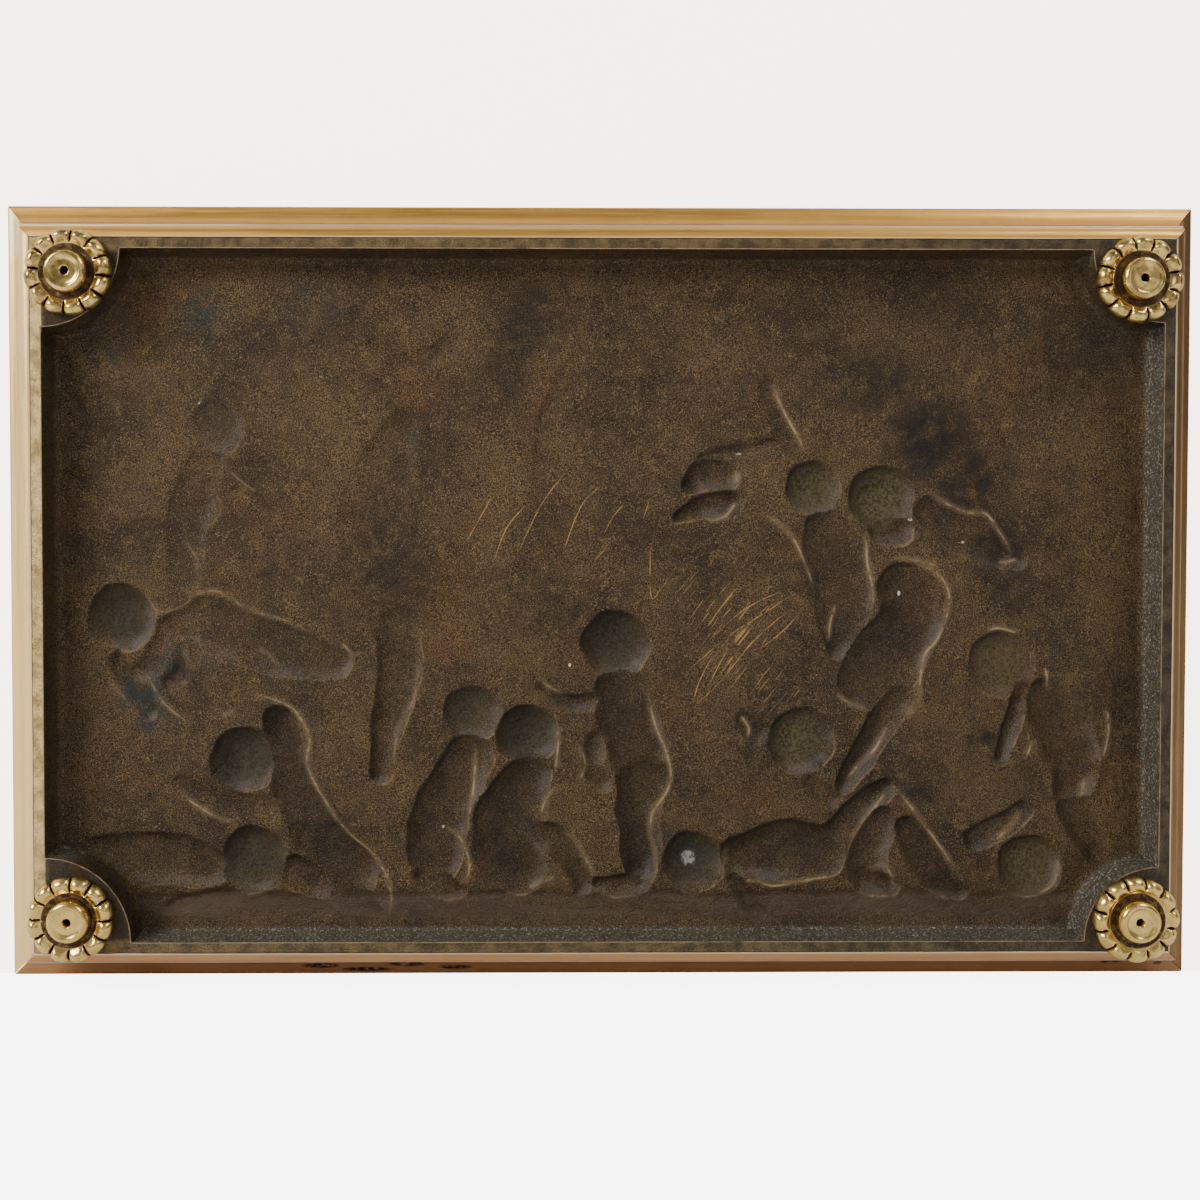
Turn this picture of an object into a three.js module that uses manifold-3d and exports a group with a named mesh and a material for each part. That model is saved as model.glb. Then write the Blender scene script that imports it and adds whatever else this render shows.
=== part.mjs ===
// Relief plaque: a cast bronze panel with sunk figures, held in a mitred brass moulding and
// fixed to a wall through four brass rosettes, one on each corner pad of the panel.
// Millimetres, +Z up. The front faces -Y and the back lies on the wall plane y = 0.
// The origin is on the back of the top moulding, halfway along it and halfway across its width.
import * as THREE from 'three';
import { mergeVertices } from 'three/addons/utils/BufferGeometryUtils.js';
import Module from 'manifold-3d';

const wasm = await Module();
wasm.setup();

// Overall size, outside the moulding
const PLAQUE_WIDTH = 500;
const PLAQUE_HEIGHT = 326;

// Moulding section: a thin outer edge, a hollow, a narrow fillet and a swelling inner member
const MOULDING_WIDTH = 16.6;
const MOULDING_HEIGHT = 22.5;
const EDGE_HEIGHT = 2.5;
const EDGE_WIDTH = 0.8;
const HOLLOW_END = 9.9;
const HOLLOW_HEIGHT = 14.4;
const HOLLOW_SAG = 3.4;
const FILLET_WIDTH = 0.9;
const FILLET_HEIGHT = 15.3;
const SWELL_START = 11.4;
const SWELL_BULGE = 2.6;
const LIP_WIDTH = 0.8;
const CURVE_STEPS = 4;

// Panel casting
const RIM_WIDTH = 4.2;
const RECESS_DEPTH = 12;
const CUT_THROUGH = 1;
const WALL_DRAFT = 1.2;
const COVE_RADIUS = 3.2;
const SKIRT_WIDTH = 7;
const BACK_HOLLOW = 3;
const BOSS_RADIUS = 11;
const BOSS_SIDES = 24;
const PAD_STEPS = 7;

// Rosettes
const ROSETTE_RADIUS = 17.9;
const ROSETTE_INSET = 15.1;
const PETALS = 12;
const PETAL_STEPS = 3;
const PETAL_HEIGHT = 4.5;
const PETAL_EDGE_HEIGHT = 1.3;
const PETAL_START = 11.2;
const PETAL_SHOULDER = 0.35;
const PETAL_CREST = 0.7;
const SHOULDER_SHARE = 0.9;
const NOTCH_HEIGHT = 1.1;
const NOTCH_SHARE = 0.9;
const GROOVE_HEIGHT = 1.9;
const DOME_RADIUS = 8.9;
const DOME_HEIGHT = 6.6;
const DISH_RADIUS = 5.4;
const DISH_DEPTH = 0.9;
const FIXING_HOLE_RADIUS = 1.7;
const HOLE_SIDES = 12;

// Fits between pieces
const JOINT_GAP = 0.3;

// Depths of the sunk figures, from the field down
const HEAD_DEPTH = 5;
const BODY_DEPTH = 3.6;
const LIMB_DEPTH = 2.4;
const FAINT_DEPTH = 1.5;
const LIMB_SIDES = 8;
const HEAD_SIDES = 16;
const SMALLEST_FACET = 0.05;

// Corners, as seen from the front. The pads and the seats of the rosettes were dressed by hand.
const CORNERS = [
  { name: 'top_left', side: [-1, 1], padRadius: 32, seat: [1.2, 0.5] },
  { name: 'top_right', side: [1, 1], padRadius: 29.5, seat: [-0.6, -1.5] },
  { name: 'bottom_right', side: [1, -1], padRadius: 30.5, seat: [0.8, -1.3] },
  { name: 'bottom_left', side: [-1, -1], padRadius: 35, seat: [0.2, -0.4] },
];

// Figures sunk in the field, in millimetres from the panel's middle. A head is its place across and up,
// its radius and its depth. A part is a chain of places, each across, up and half-width, and is sunk to
// the figure's depth.
const FIGURES = [
  {
    name: 'floating child',
    depth: FAINT_DEPTH,
    head: [-161, 69, 12.5, FAINT_DEPTH],
    parts: [
      [[-168, 48, 9], [-173, 27, 10.5], [-177, 7, 11.5]],
      [[-162, 55, 4], [-153, 48, 4], [-140, 38, 4]],
    ],
  },
  {
    name: 'bending child',
    depth: BODY_DEPTH,
    head: [-200, -9, 14, HEAD_DEPTH],
    parts: [[[-183, -21, 10], [-158, -15, 12.5], [-131, -25, 11.5], [-111, -39, 8.5]]],
  },
  {
    name: 'bending child arms',
    depth: LIMB_DEPTH,
    parts: [[[-181, -30, 5.5], [-198, -40, 5]], [[-189, -40, 4.5], [-178, -53, 4]]],
  },
  {
    name: 'crouching child',
    depth: BODY_DEPTH,
    head: [-150, -69, 14, HEAD_DEPTH],
    parts: [[[-140, -53, 10], [-132, -74, 11], [-119, -99, 13.5], [-108, -115, 15]]],
  },
  {
    name: 'crouching child limbs',
    depth: LIMB_DEPTH,
    parts: [
      [[-108, -122, 6], [-127, -123, 5]],
      [[-98, -120, 5.5], [-97, -135, 4]],
      [[-135, -86, 5], [-153, -93, 4.5], [-175, -86, 4]],
    ],
  },
  {
    name: 'lying child',
    depth: BODY_DEPTH,
    head: [-146, -111, 14, BODY_DEPTH],
    parts: [[[-162, -112, 10.5], [-185, -111, 11.5], [-207, -112, 9]]],
  },
  {
    name: 'tree',
    depth: FAINT_DEPTH,
    parts: [
      [[-85, 65, 7.5], [-97, 42, 9], [-98, 14, 11], [-86, -10, 11], [-85, -36, 8.5], [-92, -59, 6]],
      [[-93, 97, 6], [-72, 95, 7.5]],
      [[-10, 96, 4], [-21, 77, 4.5], [-24, 50, 4]],
    ],
  },
  {
    name: 'seated child',
    depth: BODY_DEPTH,
    head: [-54, -50, 12, LIMB_DEPTH],
    parts: [[[-55, -66, 11], [-68, -86, 12.5], [-74, -101, 9]]],
  },
  {
    name: 'seated child leg',
    depth: LIMB_DEPTH,
    parts: [[[-74, -105, 6.5], [-63, -115, 6], [-68, -122, 4]]],
  },
  {
    name: 'kneeling child',
    depth: BODY_DEPTH,
    head: [-32, -59, 13, HEAD_DEPTH],
    parts: [[[-31, -75, 11], [-39, -95, 14], [-37, -112, 12.5]]],
  },
  {
    name: 'kneeling child leg',
    depth: LIMB_DEPTH,
    parts: [[[-30, -104, 6.5], [-13, -106, 6]], [[-12, -108, 5.5], [-5, -126, 4.5]]],
  },
  {
    name: 'standing child',
    depth: BODY_DEPTH,
    head: [7, -21, 15.5, HEAD_DEPTH],
    parts: [[[8, -41, 11.5], [15, -63, 14], [16, -86, 11.5], [18, -108, 6.5], [19, -120, 4.5]]],
  },
  {
    name: 'standing child limbs',
    depth: LIMB_DEPTH,
    parts: [
      [[18, -123, 4], [-1, -124, 3.5]],
      [[-2, -45, 5.5], [-19, -40, 4]],
      [[-3, -59, 5], [-5, -74, 4]],
    ],
  },
  {
    name: 'leaves',
    depth: LIMB_DEPTH,
    parts: [
      [[33, 43, 3], [42, 47, 6.5], [52, 48, 4]],
      [[34, 32, 2.5], [43, 35, 5], [53, 38, 4]],
      [[66, 90, 3], [74, 71, 4], [82, 59, 2.5]],
    ],
  },
  {
    name: 'reaching child',
    depth: BODY_DEPTH,
    head: [89, 46, 12, HEAD_DEPTH],
    parts: [[[92, 28, 12.5], [100, 7, 12.5], [102, -10, 8.5], [101, -22, 4.5]]],
  },
  {
    name: 'winged child',
    depth: BODY_DEPTH,
    head: [118, 41, 14.5, HEAD_DEPTH],
    parts: [[[134, 31, 10], [153, 26, 8.5], [173, 16, 4]]],
  },
  {
    name: 'leaping child',
    depth: BODY_DEPTH,
    parts: [
      [[128, 3, 10], [130, -15, 11.5], [120, -32, 15]],
      [[123, -44, 8.5], [110, -62, 6.5], [100, -76, 4.5]],
    ],
  },
  {
    name: 'sitting child',
    depth: LIMB_DEPTH,
    head: [84, -62, 14, BODY_DEPTH],
    parts: [
      [[61, -58, 4], [63, -57, 4]],
      [[88, -76, 4], [98, -78, 4]],
      [[93, -85, 6], [99, -93, 6]],
    ],
  },
  {
    name: 'resting child',
    depth: BODY_DEPTH,
    head: [39, -113, 13.5, HEAD_DEPTH],
    parts: [[[59, -110, 10], [79, -108, 13.5], [96, -108, 11]]],
  },
  {
    name: 'resting child limbs',
    depth: LIMB_DEPTH,
    parts: [[[99, -99, 7], [117, -81, 5.5]], [[61, -121, 4], [57, -133, 3.5]]],
  },
  {
    name: 'climbing child',
    depth: LIMB_DEPTH,
    parts: [
      [[123, -86, 4], [114, -103, 6.5], [110, -115, 6]],
      [[128, -91, 4], [138, -108, 6.5], [147, -120, 5.5]],
    ],
  },
  {
    name: 'stooping child',
    depth: BODY_DEPTH,
    head: [169, -28, 14, LIMB_DEPTH],
    parts: [[[185, -44, 10], [196, -62, 10], [199, -80, 7.5], [206, -100, 7.5]]],
  },
  {
    name: 'stooping child arm',
    depth: LIMB_DEPTH,
    parts: [[[176, -44, 5.5], [172, -62, 4]], [[172, -62, 4], [180, -66, 3.5]]],
  },
  {
    name: 'corner child',
    depth: LIMB_DEPTH,
    head: [182, -115, 13.5, BODY_DEPTH],
    parts: [[[160, -100, 5], [175, -93, 5]]],
  },
];

const halfWidth = PLAQUE_WIDTH / 2;
const halfHeight = PLAQUE_HEIGHT / 2;
const RIM_LEVEL = MOULDING_HEIGHT;
const FIELD_LEVEL = RIM_LEVEL - RECESS_DEPTH;
const panelHalf = [halfWidth - MOULDING_WIDTH - JOINT_GAP, halfHeight - MOULDING_WIDTH - JOINT_GAP];
const recessHalf = [panelHalf[0] - RIM_WIDTH, panelHalf[1] - RIM_WIDTH];

const brass = new THREE.MeshStandardMaterial({ color: 0xb98a4c, roughness: 0.42, metalness: 0.9 });
const polishedBrass = new THREE.MeshStandardMaterial({ color: 0xc7b068, roughness: 0.28, metalness: 1 });
const darkBronze = new THREE.MeshStandardMaterial({ color: 0x54412f, roughness: 0.6, metalness: 0.7 });

// Geometry from corner points and triangles, turned right side out if its volume is negative
function closedGeometry(points, triangles) {
  let volume = 0;
  for (const [a, b, c] of triangles) {
    const [p, q, r] = [points[a], points[b], points[c]];
    volume += p.dot(new THREE.Vector3().crossVectors(q, r));
  }
  const faces = volume < 0 ? triangles.map(([a, b, c]) => [a, c, b]) : triangles;
  const geometry = new THREE.BufferGeometry();
  const places = points.flatMap((p) => p.toArray());
  geometry.setAttribute('position', new THREE.Float32BufferAttribute(places, 3));
  geometry.setIndex(faces.flat());
  return geometry;
}

// Side faces between two neighbouring outlines; an outline of one point is a tip
function bridge(first, firstStart, second, secondStart) {
  const count = Math.max(first.length, second.length);
  const faces = [];
  for (let i = 0; i < count; i += 1) {
    const next = (i + 1) % count;
    const a = firstStart + (first.length > 1 ? i : 0);
    const b = firstStart + (first.length > 1 ? next : 0);
    const c = secondStart + (second.length > 1 ? next : 0);
    const d = secondStart + (second.length > 1 ? i : 0);
    if (first.length > 1) faces.push([a, b, c]);
    if (second.length > 1) faces.push([a, c, d]);
  }
  return faces;
}

// End face of a stack of outlines, wound like its outline. The points are given in the plane of the face.
function endFace(flat, start, reversed) {
  const turn = Math.sign(THREE.ShapeUtils.area(flat));
  return THREE.ShapeUtils.triangulateShape(flat, []).map(([a, b, c]) => {
    const same = Math.sign(THREE.ShapeUtils.area([flat[a], flat[b], flat[c]])) === turn;
    const face = same === reversed ? [a, b, c] : [a, c, b];
    return face.map((index) => index + start);
  });
}

// Closed solid through a stack of matching outlines. Its ends are tips, or faces that the given
// function flattens.
function skin(outlines, flatten) {
  const points = outlines.flat();
  const faces = [];
  let start = 0;
  for (let i = 0; i + 1 < outlines.length; i += 1) {
    const nextStart = start + outlines[i].length;
    faces.push(...bridge(outlines[i], start, outlines[i + 1], nextStart));
    start = nextStart;
  }
  if (flatten) {
    faces.push(...endFace(outlines[0].map(flatten), 0, false));
    faces.push(...endFace(outlines.at(-1).map(flatten), start, true));
  }
  return closedGeometry(points, faces);
}

// Closed ring through matching outlines set round an axis
function ringSkin(outlines) {
  const size = outlines[0].length;
  const faces = outlines.flatMap((outline, i) => {
    const next = (i + 1) % outlines.length;
    return bridge(outline, i * size, outlines[next], next * size);
  });
  return closedGeometry(outlines.flat(), faces);
}

function toSolid(geometry) {
  const bare = geometry.clone();
  bare.deleteAttribute('normal');
  bare.deleteAttribute('uv');
  const merged = mergeVertices(bare, 1e-4);
  return new wasm.Manifold(new wasm.Mesh({
    numProp: 3,
    vertProperties: new Float32Array(merged.attributes.position.array),
    triVerts: new Uint32Array(merged.index.array),
  }));
}

function toGeometry(solid) {
  const mesh = solid.getMesh();
  const geometry = new THREE.BufferGeometry();
  geometry.setAttribute('position', new THREE.Float32BufferAttribute(mesh.vertProperties, mesh.numProp));
  geometry.setIndex([...mesh.triVerts]);
  return geometry;
}

// Points along a quadratic curve, ends included
function curvePoints(from, pull, to, steps) {
  const [start, middle, end] = [from, pull, to].map((point) => new THREE.Vector2(...point));
  return new THREE.QuadraticBezierCurve(start, middle, end).getPoints(steps);
}

// The point that pulls a curve away from its chord, by the same amount in and down
function pullPoint(from, to, sag) {
  return [(from[0] + to[0]) / 2 + sag, (from[1] + to[1]) / 2 - sag];
}

// Section of the moulding: x is the distance in from the outer edge, y the height off the wall
function mouldingSection() {
  const hollowStart = [EDGE_WIDTH, EDGE_HEIGHT + EDGE_WIDTH];
  const hollowEnd = [HOLLOW_END, HOLLOW_HEIGHT];
  const hollowPull = pullPoint(hollowStart, hollowEnd, HOLLOW_SAG);
  const swellStart = [SWELL_START, FILLET_HEIGHT + (SWELL_START - HOLLOW_END - FILLET_WIDTH)];
  const swellEnd = [MOULDING_WIDTH - LIP_WIDTH, MOULDING_HEIGHT];
  const swellPull = pullPoint(swellStart, swellEnd, -SWELL_BULGE);
  return [
    new THREE.Vector2(0, 0),
    new THREE.Vector2(0, EDGE_HEIGHT),
    ...curvePoints(hollowStart, hollowPull, hollowEnd, CURVE_STEPS),
    new THREE.Vector2(HOLLOW_END, FILLET_HEIGHT),
    new THREE.Vector2(HOLLOW_END + FILLET_WIDTH, FILLET_HEIGHT),
    ...curvePoints(swellStart, swellPull, swellEnd, CURVE_STEPS),
    new THREE.Vector2(MOULDING_WIDTH, MOULDING_HEIGHT),
    new THREE.Vector2(MOULDING_WIDTH, 0),
  ];
}

// One mitred length along +X, its outer edge towards +Y at the given half-span
function mouldingLength(length, halfSpan) {
  const section = mouldingSection();
  const end = (side) => section.map((p) => {
    const reach = length / 2 - p.x - JOINT_GAP / 2;
    return new THREE.Vector3(side * reach, halfSpan - p.x, p.y);
  });
  return skin([end(-1), end(1)], (p) => new THREE.Vector2(p.y, p.z));
}

// Outline of the recess, set in by a distance: straight sides with a pad rounding each corner inwards
function recessOutline(inset, level) {
  return CORNERS.flatMap(({ side, padRadius }, index) => {
    const radius = padRadius + inset;
    const first = Math.asin(inset / radius);
    const arc = [];
    for (let i = 0; i <= PAD_STEPS; i += 1) {
      const angle = first + (Math.PI / 2 - 2 * first) * (i / PAD_STEPS);
      const x = side[0] * (recessHalf[0] - radius * Math.sin(angle));
      const y = side[1] * (recessHalf[1] - radius * Math.cos(angle));
      arc.push(new THREE.Vector3(x, y, level));
    }
    return index % 2 === 0 ? arc : arc.reverse();
  });
}

// Everything removed in front of the field: drafted walls and a cove at their foot
function recessCutter() {
  const coveShare = 1 - Math.SQRT1_2;
  return skin([
    recessOutline(WALL_DRAFT + COVE_RADIUS, FIELD_LEVEL),
    recessOutline(WALL_DRAFT + COVE_RADIUS * coveShare, FIELD_LEVEL + COVE_RADIUS * coveShare),
    recessOutline(WALL_DRAFT, FIELD_LEVEL + COVE_RADIUS),
    recessOutline(0, RIM_LEVEL),
    recessOutline(0, RIM_LEVEL + CUT_THROUGH),
  ], (p) => new THREE.Vector2(p.x, p.y));
}

// The part of the field that figures may reach, clear of walls and pads
function figureZone() {
  const inset = WALL_DRAFT + COVE_RADIUS;
  return skin(
    [recessOutline(inset, 0), recessOutline(inset, FIELD_LEVEL + COVE_RADIUS)],
    (p) => new THREE.Vector2(p.x, p.y),
  );
}

function headBowl([x, y, radius, depth]) {
  const bowl = new THREE.SphereGeometry(1, HEAD_SIDES, HEAD_SIDES / 2);
  bowl.rotateX(Math.PI / 2);
  bowl.scale(radius, radius, depth);
  bowl.translate(x, y, FIELD_LEVEL);
  return bowl;
}

// A trough with rounded ends along a chain of places, as deep as given at its middle line
function limbTrough(chain, depth) {
  const places = chain.map(([x, y, r]) => ({ at: new THREE.Vector2(x, y), r }));
  const along = (i) => {
    const before = places[Math.max(i - 1, 0)].at;
    const after = places[Math.min(i + 1, places.length - 1)].at;
    return after.clone().sub(before).normalize();
  };
  const outline = ({ at, r }, tangent, shift, share) => {
    const centre = at.clone().addScaledVector(tangent, shift * r);
    const across = new THREE.Vector2(-tangent.y, tangent.x);
    return Array.from({ length: LIMB_SIDES }, (_, k) => {
      const angle = (2 * Math.PI * k) / LIMB_SIDES;
      const rim = centre.clone().addScaledVector(across, r * share * Math.cos(angle));
      return new THREE.Vector3(rim.x, rim.y, FIELD_LEVEL + depth * share * Math.sin(angle));
    });
  };
  const tip = ({ at, r }, tangent, shift) => {
    const centre = at.clone().addScaledVector(tangent, shift * r);
    return [new THREE.Vector3(centre.x, centre.y, FIELD_LEVEL)];
  };
  const [first, last] = [places[0], places.at(-1)];
  const [startAlong, endAlong] = [along(0), along(places.length - 1)];
  return skin([
    tip(first, startAlong, -1),
    outline(first, startAlong, -Math.SQRT1_2, Math.SQRT1_2),
    ...places.map((place, i) => outline(place, along(i), 0, 1)),
    outline(last, endAlong, Math.SQRT1_2, Math.SQRT1_2),
    tip(last, endAlong, 1),
  ]);
}

function figureCutters() {
  return FIGURES.flatMap(({ head, depth, parts }) => [
    ...(head ? [toSolid(headBowl(head))] : []),
    ...parts.map((chain) => toSolid(limbTrough(chain, depth))),
  ]);
}

function rosetteCentre({ side, seat }) {
  return [
    side[0] * (halfWidth - MOULDING_WIDTH - ROSETTE_INSET) + seat[0],
    side[1] * (halfHeight - MOULDING_WIDTH - ROSETTE_INSET) + seat[1],
  ];
}

function upright(radius, bottom, top, [x, y], sides) {
  const cylinder = new THREE.CylinderGeometry(radius, radius, top - bottom, sides);
  cylinder.rotateX(Math.PI / 2);
  cylinder.translate(x, y, (top + bottom) / 2);
  return cylinder;
}

function slab(half, bottom, top) {
  const box = new THREE.BoxGeometry(2 * half[0], 2 * half[1], top - bottom);
  box.translate(0, 0, (top + bottom) / 2);
  return box;
}

// The panel: rim and pads in front, a sunk field, and a shallow hollow behind that leaves a skirt
// along its edges and a boss round each fixing hole
function panelGeometry() {
  const hollowHalf = [panelHalf[0] - SKIRT_WIDTH, panelHalf[1] - SKIRT_WIDTH];
  const hollowTop = BACK_HOLLOW + CUT_THROUGH;
  let backHollow = toSolid(slab(hollowHalf, -CUT_THROUGH, BACK_HOLLOW));
  let panel = toSolid(slab(panelHalf, 0, RIM_LEVEL)).subtract(toSolid(recessCutter()));
  for (const corner of CORNERS) {
    const centre = rosetteCentre(corner);
    const boss = upright(BOSS_RADIUS, -2 * CUT_THROUGH, hollowTop, centre, BOSS_SIDES);
    const hole = upright(FIXING_HOLE_RADIUS, -CUT_THROUGH, RIM_LEVEL + CUT_THROUGH, centre, HOLE_SIDES);
    backHollow = backHollow.subtract(toSolid(boss));
    panel = panel.subtract(toSolid(hole));
  }
  const figures = wasm.Manifold.union(figureCutters()).intersect(toSolid(figureZone()));
  return toGeometry(panel.subtract(backHollow).subtract(figures).simplify(SMALLEST_FACET));
}

// Section of a rosette from its hole outwards; fullness is 1 on a petal and 0 in the notch beside it
function rosetteSection(fullness) {
  const mix = THREE.MathUtils.lerp;
  const outer = ROSETTE_RADIUS * mix(NOTCH_SHARE, 1, fullness);
  const crest = mix(NOTCH_HEIGHT, PETAL_HEIGHT, fullness);
  const span = outer - PETAL_START;
  return [
    [FIXING_HOLE_RADIUS, 0],
    [FIXING_HOLE_RADIUS, DOME_HEIGHT - DISH_DEPTH],
    [DISH_RADIUS, DOME_HEIGHT - DISH_DEPTH],
    [DISH_RADIUS + DISH_DEPTH, DOME_HEIGHT],
    [DOME_RADIUS - DISH_DEPTH, DOME_HEIGHT - DISH_DEPTH / 2],
    [DOME_RADIUS, GROOVE_HEIGHT],
    [PETAL_START, mix(NOTCH_HEIGHT, GROOVE_HEIGHT, fullness)],
    [PETAL_START + span * PETAL_SHOULDER, mix(NOTCH_HEIGHT, crest, SHOULDER_SHARE)],
    [PETAL_START + span * PETAL_CREST, crest],
    [outer, mix(NOTCH_HEIGHT / 2, PETAL_EDGE_HEIGHT, fullness)],
    [outer - JOINT_GAP, 0],
  ];
}

function rosetteGeometry() {
  const steps = PETALS * PETAL_STEPS;
  return ringSkin(Array.from({ length: steps }, (_, i) => {
    const angle = (2 * Math.PI * i) / steps;
    const section = rosetteSection(i % PETAL_STEPS === 0 ? 0 : 1);
    return section.map(([r, h]) => new THREE.Vector3(r * Math.cos(angle), r * Math.sin(angle), h));
  }));
}

function piece(name, geometry, material) {
  const mesh = new THREE.Mesh(geometry, material);
  mesh.name = name;
  return mesh;
}

// The plaque is laid face up, then stood against the wall with the origin on its top moulding
const plaque = new THREE.Group();
plaque.add(piece('relief_panel', panelGeometry(), darkBronze));

const LENGTHS = [
  { name: 'moulding_top', length: PLAQUE_WIDTH, halfSpan: halfHeight, quarterTurns: 0 },
  { name: 'moulding_left', length: PLAQUE_HEIGHT, halfSpan: halfWidth, quarterTurns: 1 },
  { name: 'moulding_bottom', length: PLAQUE_WIDTH, halfSpan: halfHeight, quarterTurns: 2 },
  { name: 'moulding_right', length: PLAQUE_HEIGHT, halfSpan: halfWidth, quarterTurns: 3 },
];
for (const { name, length, halfSpan, quarterTurns } of LENGTHS) {
  const rail = piece(name, mouldingLength(length, halfSpan), brass);
  rail.rotation.z = (quarterTurns * Math.PI) / 2;
  plaque.add(rail);
}

for (const corner of CORNERS) {
  const rosette = piece(`rosette_${corner.name}`, rosetteGeometry(), polishedBrass);
  rosette.position.set(...rosetteCentre(corner), RIM_LEVEL + JOINT_GAP);
  plaque.add(rosette);
}

plaque.rotation.x = Math.PI / 2;
plaque.position.z = -(halfHeight - MOULDING_WIDTH / 2);

const part = new THREE.Group();
part.add(plaque);

export default part;
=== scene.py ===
import math

import bpy
import numpy as np
from mathutils import Matrix, Vector


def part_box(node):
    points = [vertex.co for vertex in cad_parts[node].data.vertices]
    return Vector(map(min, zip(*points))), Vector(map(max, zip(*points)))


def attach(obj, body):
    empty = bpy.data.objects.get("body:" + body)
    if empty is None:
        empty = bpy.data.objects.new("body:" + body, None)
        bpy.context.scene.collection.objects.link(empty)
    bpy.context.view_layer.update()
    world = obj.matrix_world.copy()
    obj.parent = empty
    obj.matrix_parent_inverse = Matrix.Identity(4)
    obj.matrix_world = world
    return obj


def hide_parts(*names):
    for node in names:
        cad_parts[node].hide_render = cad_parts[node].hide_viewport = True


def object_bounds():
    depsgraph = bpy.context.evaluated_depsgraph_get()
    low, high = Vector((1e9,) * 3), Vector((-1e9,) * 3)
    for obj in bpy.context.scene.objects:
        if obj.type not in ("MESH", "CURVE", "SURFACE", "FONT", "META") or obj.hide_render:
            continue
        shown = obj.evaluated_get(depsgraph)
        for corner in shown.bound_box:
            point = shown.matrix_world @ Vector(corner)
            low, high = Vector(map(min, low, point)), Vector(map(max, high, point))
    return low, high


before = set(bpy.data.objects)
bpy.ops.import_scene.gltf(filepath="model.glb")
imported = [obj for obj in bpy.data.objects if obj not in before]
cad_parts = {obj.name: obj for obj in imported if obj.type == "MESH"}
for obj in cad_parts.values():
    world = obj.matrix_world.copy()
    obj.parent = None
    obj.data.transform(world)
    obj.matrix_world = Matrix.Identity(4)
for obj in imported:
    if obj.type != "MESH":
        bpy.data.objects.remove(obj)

cad_low, cad_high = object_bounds()

# Relief panel
# One sand-cast bronze plate: a flat rim with four rounded corner pads, rough recess walls and a field
# with the figures sunk into it. A skirt and four bosses stand behind it, against the wall.
MM = 0.001
panel_low, panel_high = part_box("relief_panel")
panel_middle = Vector(((panel_low.x + panel_high.x) / 2, 0, (panel_low.z + panel_high.z) / 2))
panel_half = ((panel_high.x - panel_low.x) / 2 / MM, (panel_high.z - panel_low.z) / 2 / MM)
rim_level = -panel_low.y / MM
rim_width = 4.2
recess_half = (panel_half[0] - rim_width, panel_half[1] - rim_width)
recess_depth = 12
field_level = rim_level - recess_depth
wall_draft = 1.2
cove_radius = 3.2
skirt_width = 7
back_hollow = 3
boss_radius = 11
overcut = 1
fixing_hole_radius = 1.7
grid_step = 1.15
upper_step = 1.6
upper_from = 50

edge_tolerance = 0.02
bowl_sharpness = 3.2
stroke_sharpness = 2.8
light_lean = 0.42
crest_height = 0.4
crest_width = 1.1
lip_height = 0.25
lip_width = 1.5
to_light = (-0.64, 0.77)
ledge_up = -125
ledge_drop = 0.9
ledge_slope = 1.6
bowl_blend = 0.05
stroke_blend = 0.7
field_blend = 0.3
figure_margin = 24
full_facing_depth = 2.4
full_bowl_depth = 4
full_hollow_depth = 5
patch_end = 1.5
rim_inside, deep_inside = -8, 30
scored_middle, scored_half, scored_lean = (58, -20), (14, 28), 0.6
slope_nudge = 0.05
curve_steps = 4
panel_crease = 38
far_off = 9.0
out_of_reach = 50
field_fade = 5
crest_reach = 3
scratch_reach = 2
end_fade = 6

# Unevenness of the hand work and of the casting: how much, then the wave length, the seed and the number
# of waves, in millimetres
wander, wander_waves = 0.5, ((19, 5), (19, 6))
tremble, tremble_waves = 0.1, ((6, 7), (6, 8))
hand_wave, hand_waves = 0.3, (38, 11)
tool_mark, tool_waves = 0.1, (9, 12)
bowl_pit, bowl_waves = 0.2, (4, 13, 24)
ledge_pit, ledge_pit_waves = 0.12, (4, 14, 30)
ledge_wave, ledge_waves = 0.8, (40, 16)
body_work, body_waves, body_full_depth = 0.3, (14, 15), 3
stain_wander, stain_waves = 2.2, ((11, 21), (11, 22))

# Corner sides, pad radii and the rosettes' places on the pads, in millimetres from the panel's middle
corners = {
    "top_left": {"side": (-1, 1), "pad": 32, "rosette": (-217.1, 131.8)},
    "top_right": {"side": (1, 1), "pad": 29.5, "rosette": (217.7, 129.8)},
    "bottom_right": {"side": (1, -1), "pad": 30.5, "rosette": (219.1, -132.6)},
    "bottom_left": {"side": (-1, -1), "pad": 35, "rosette": (-218.1, -131.7)},
}

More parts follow.
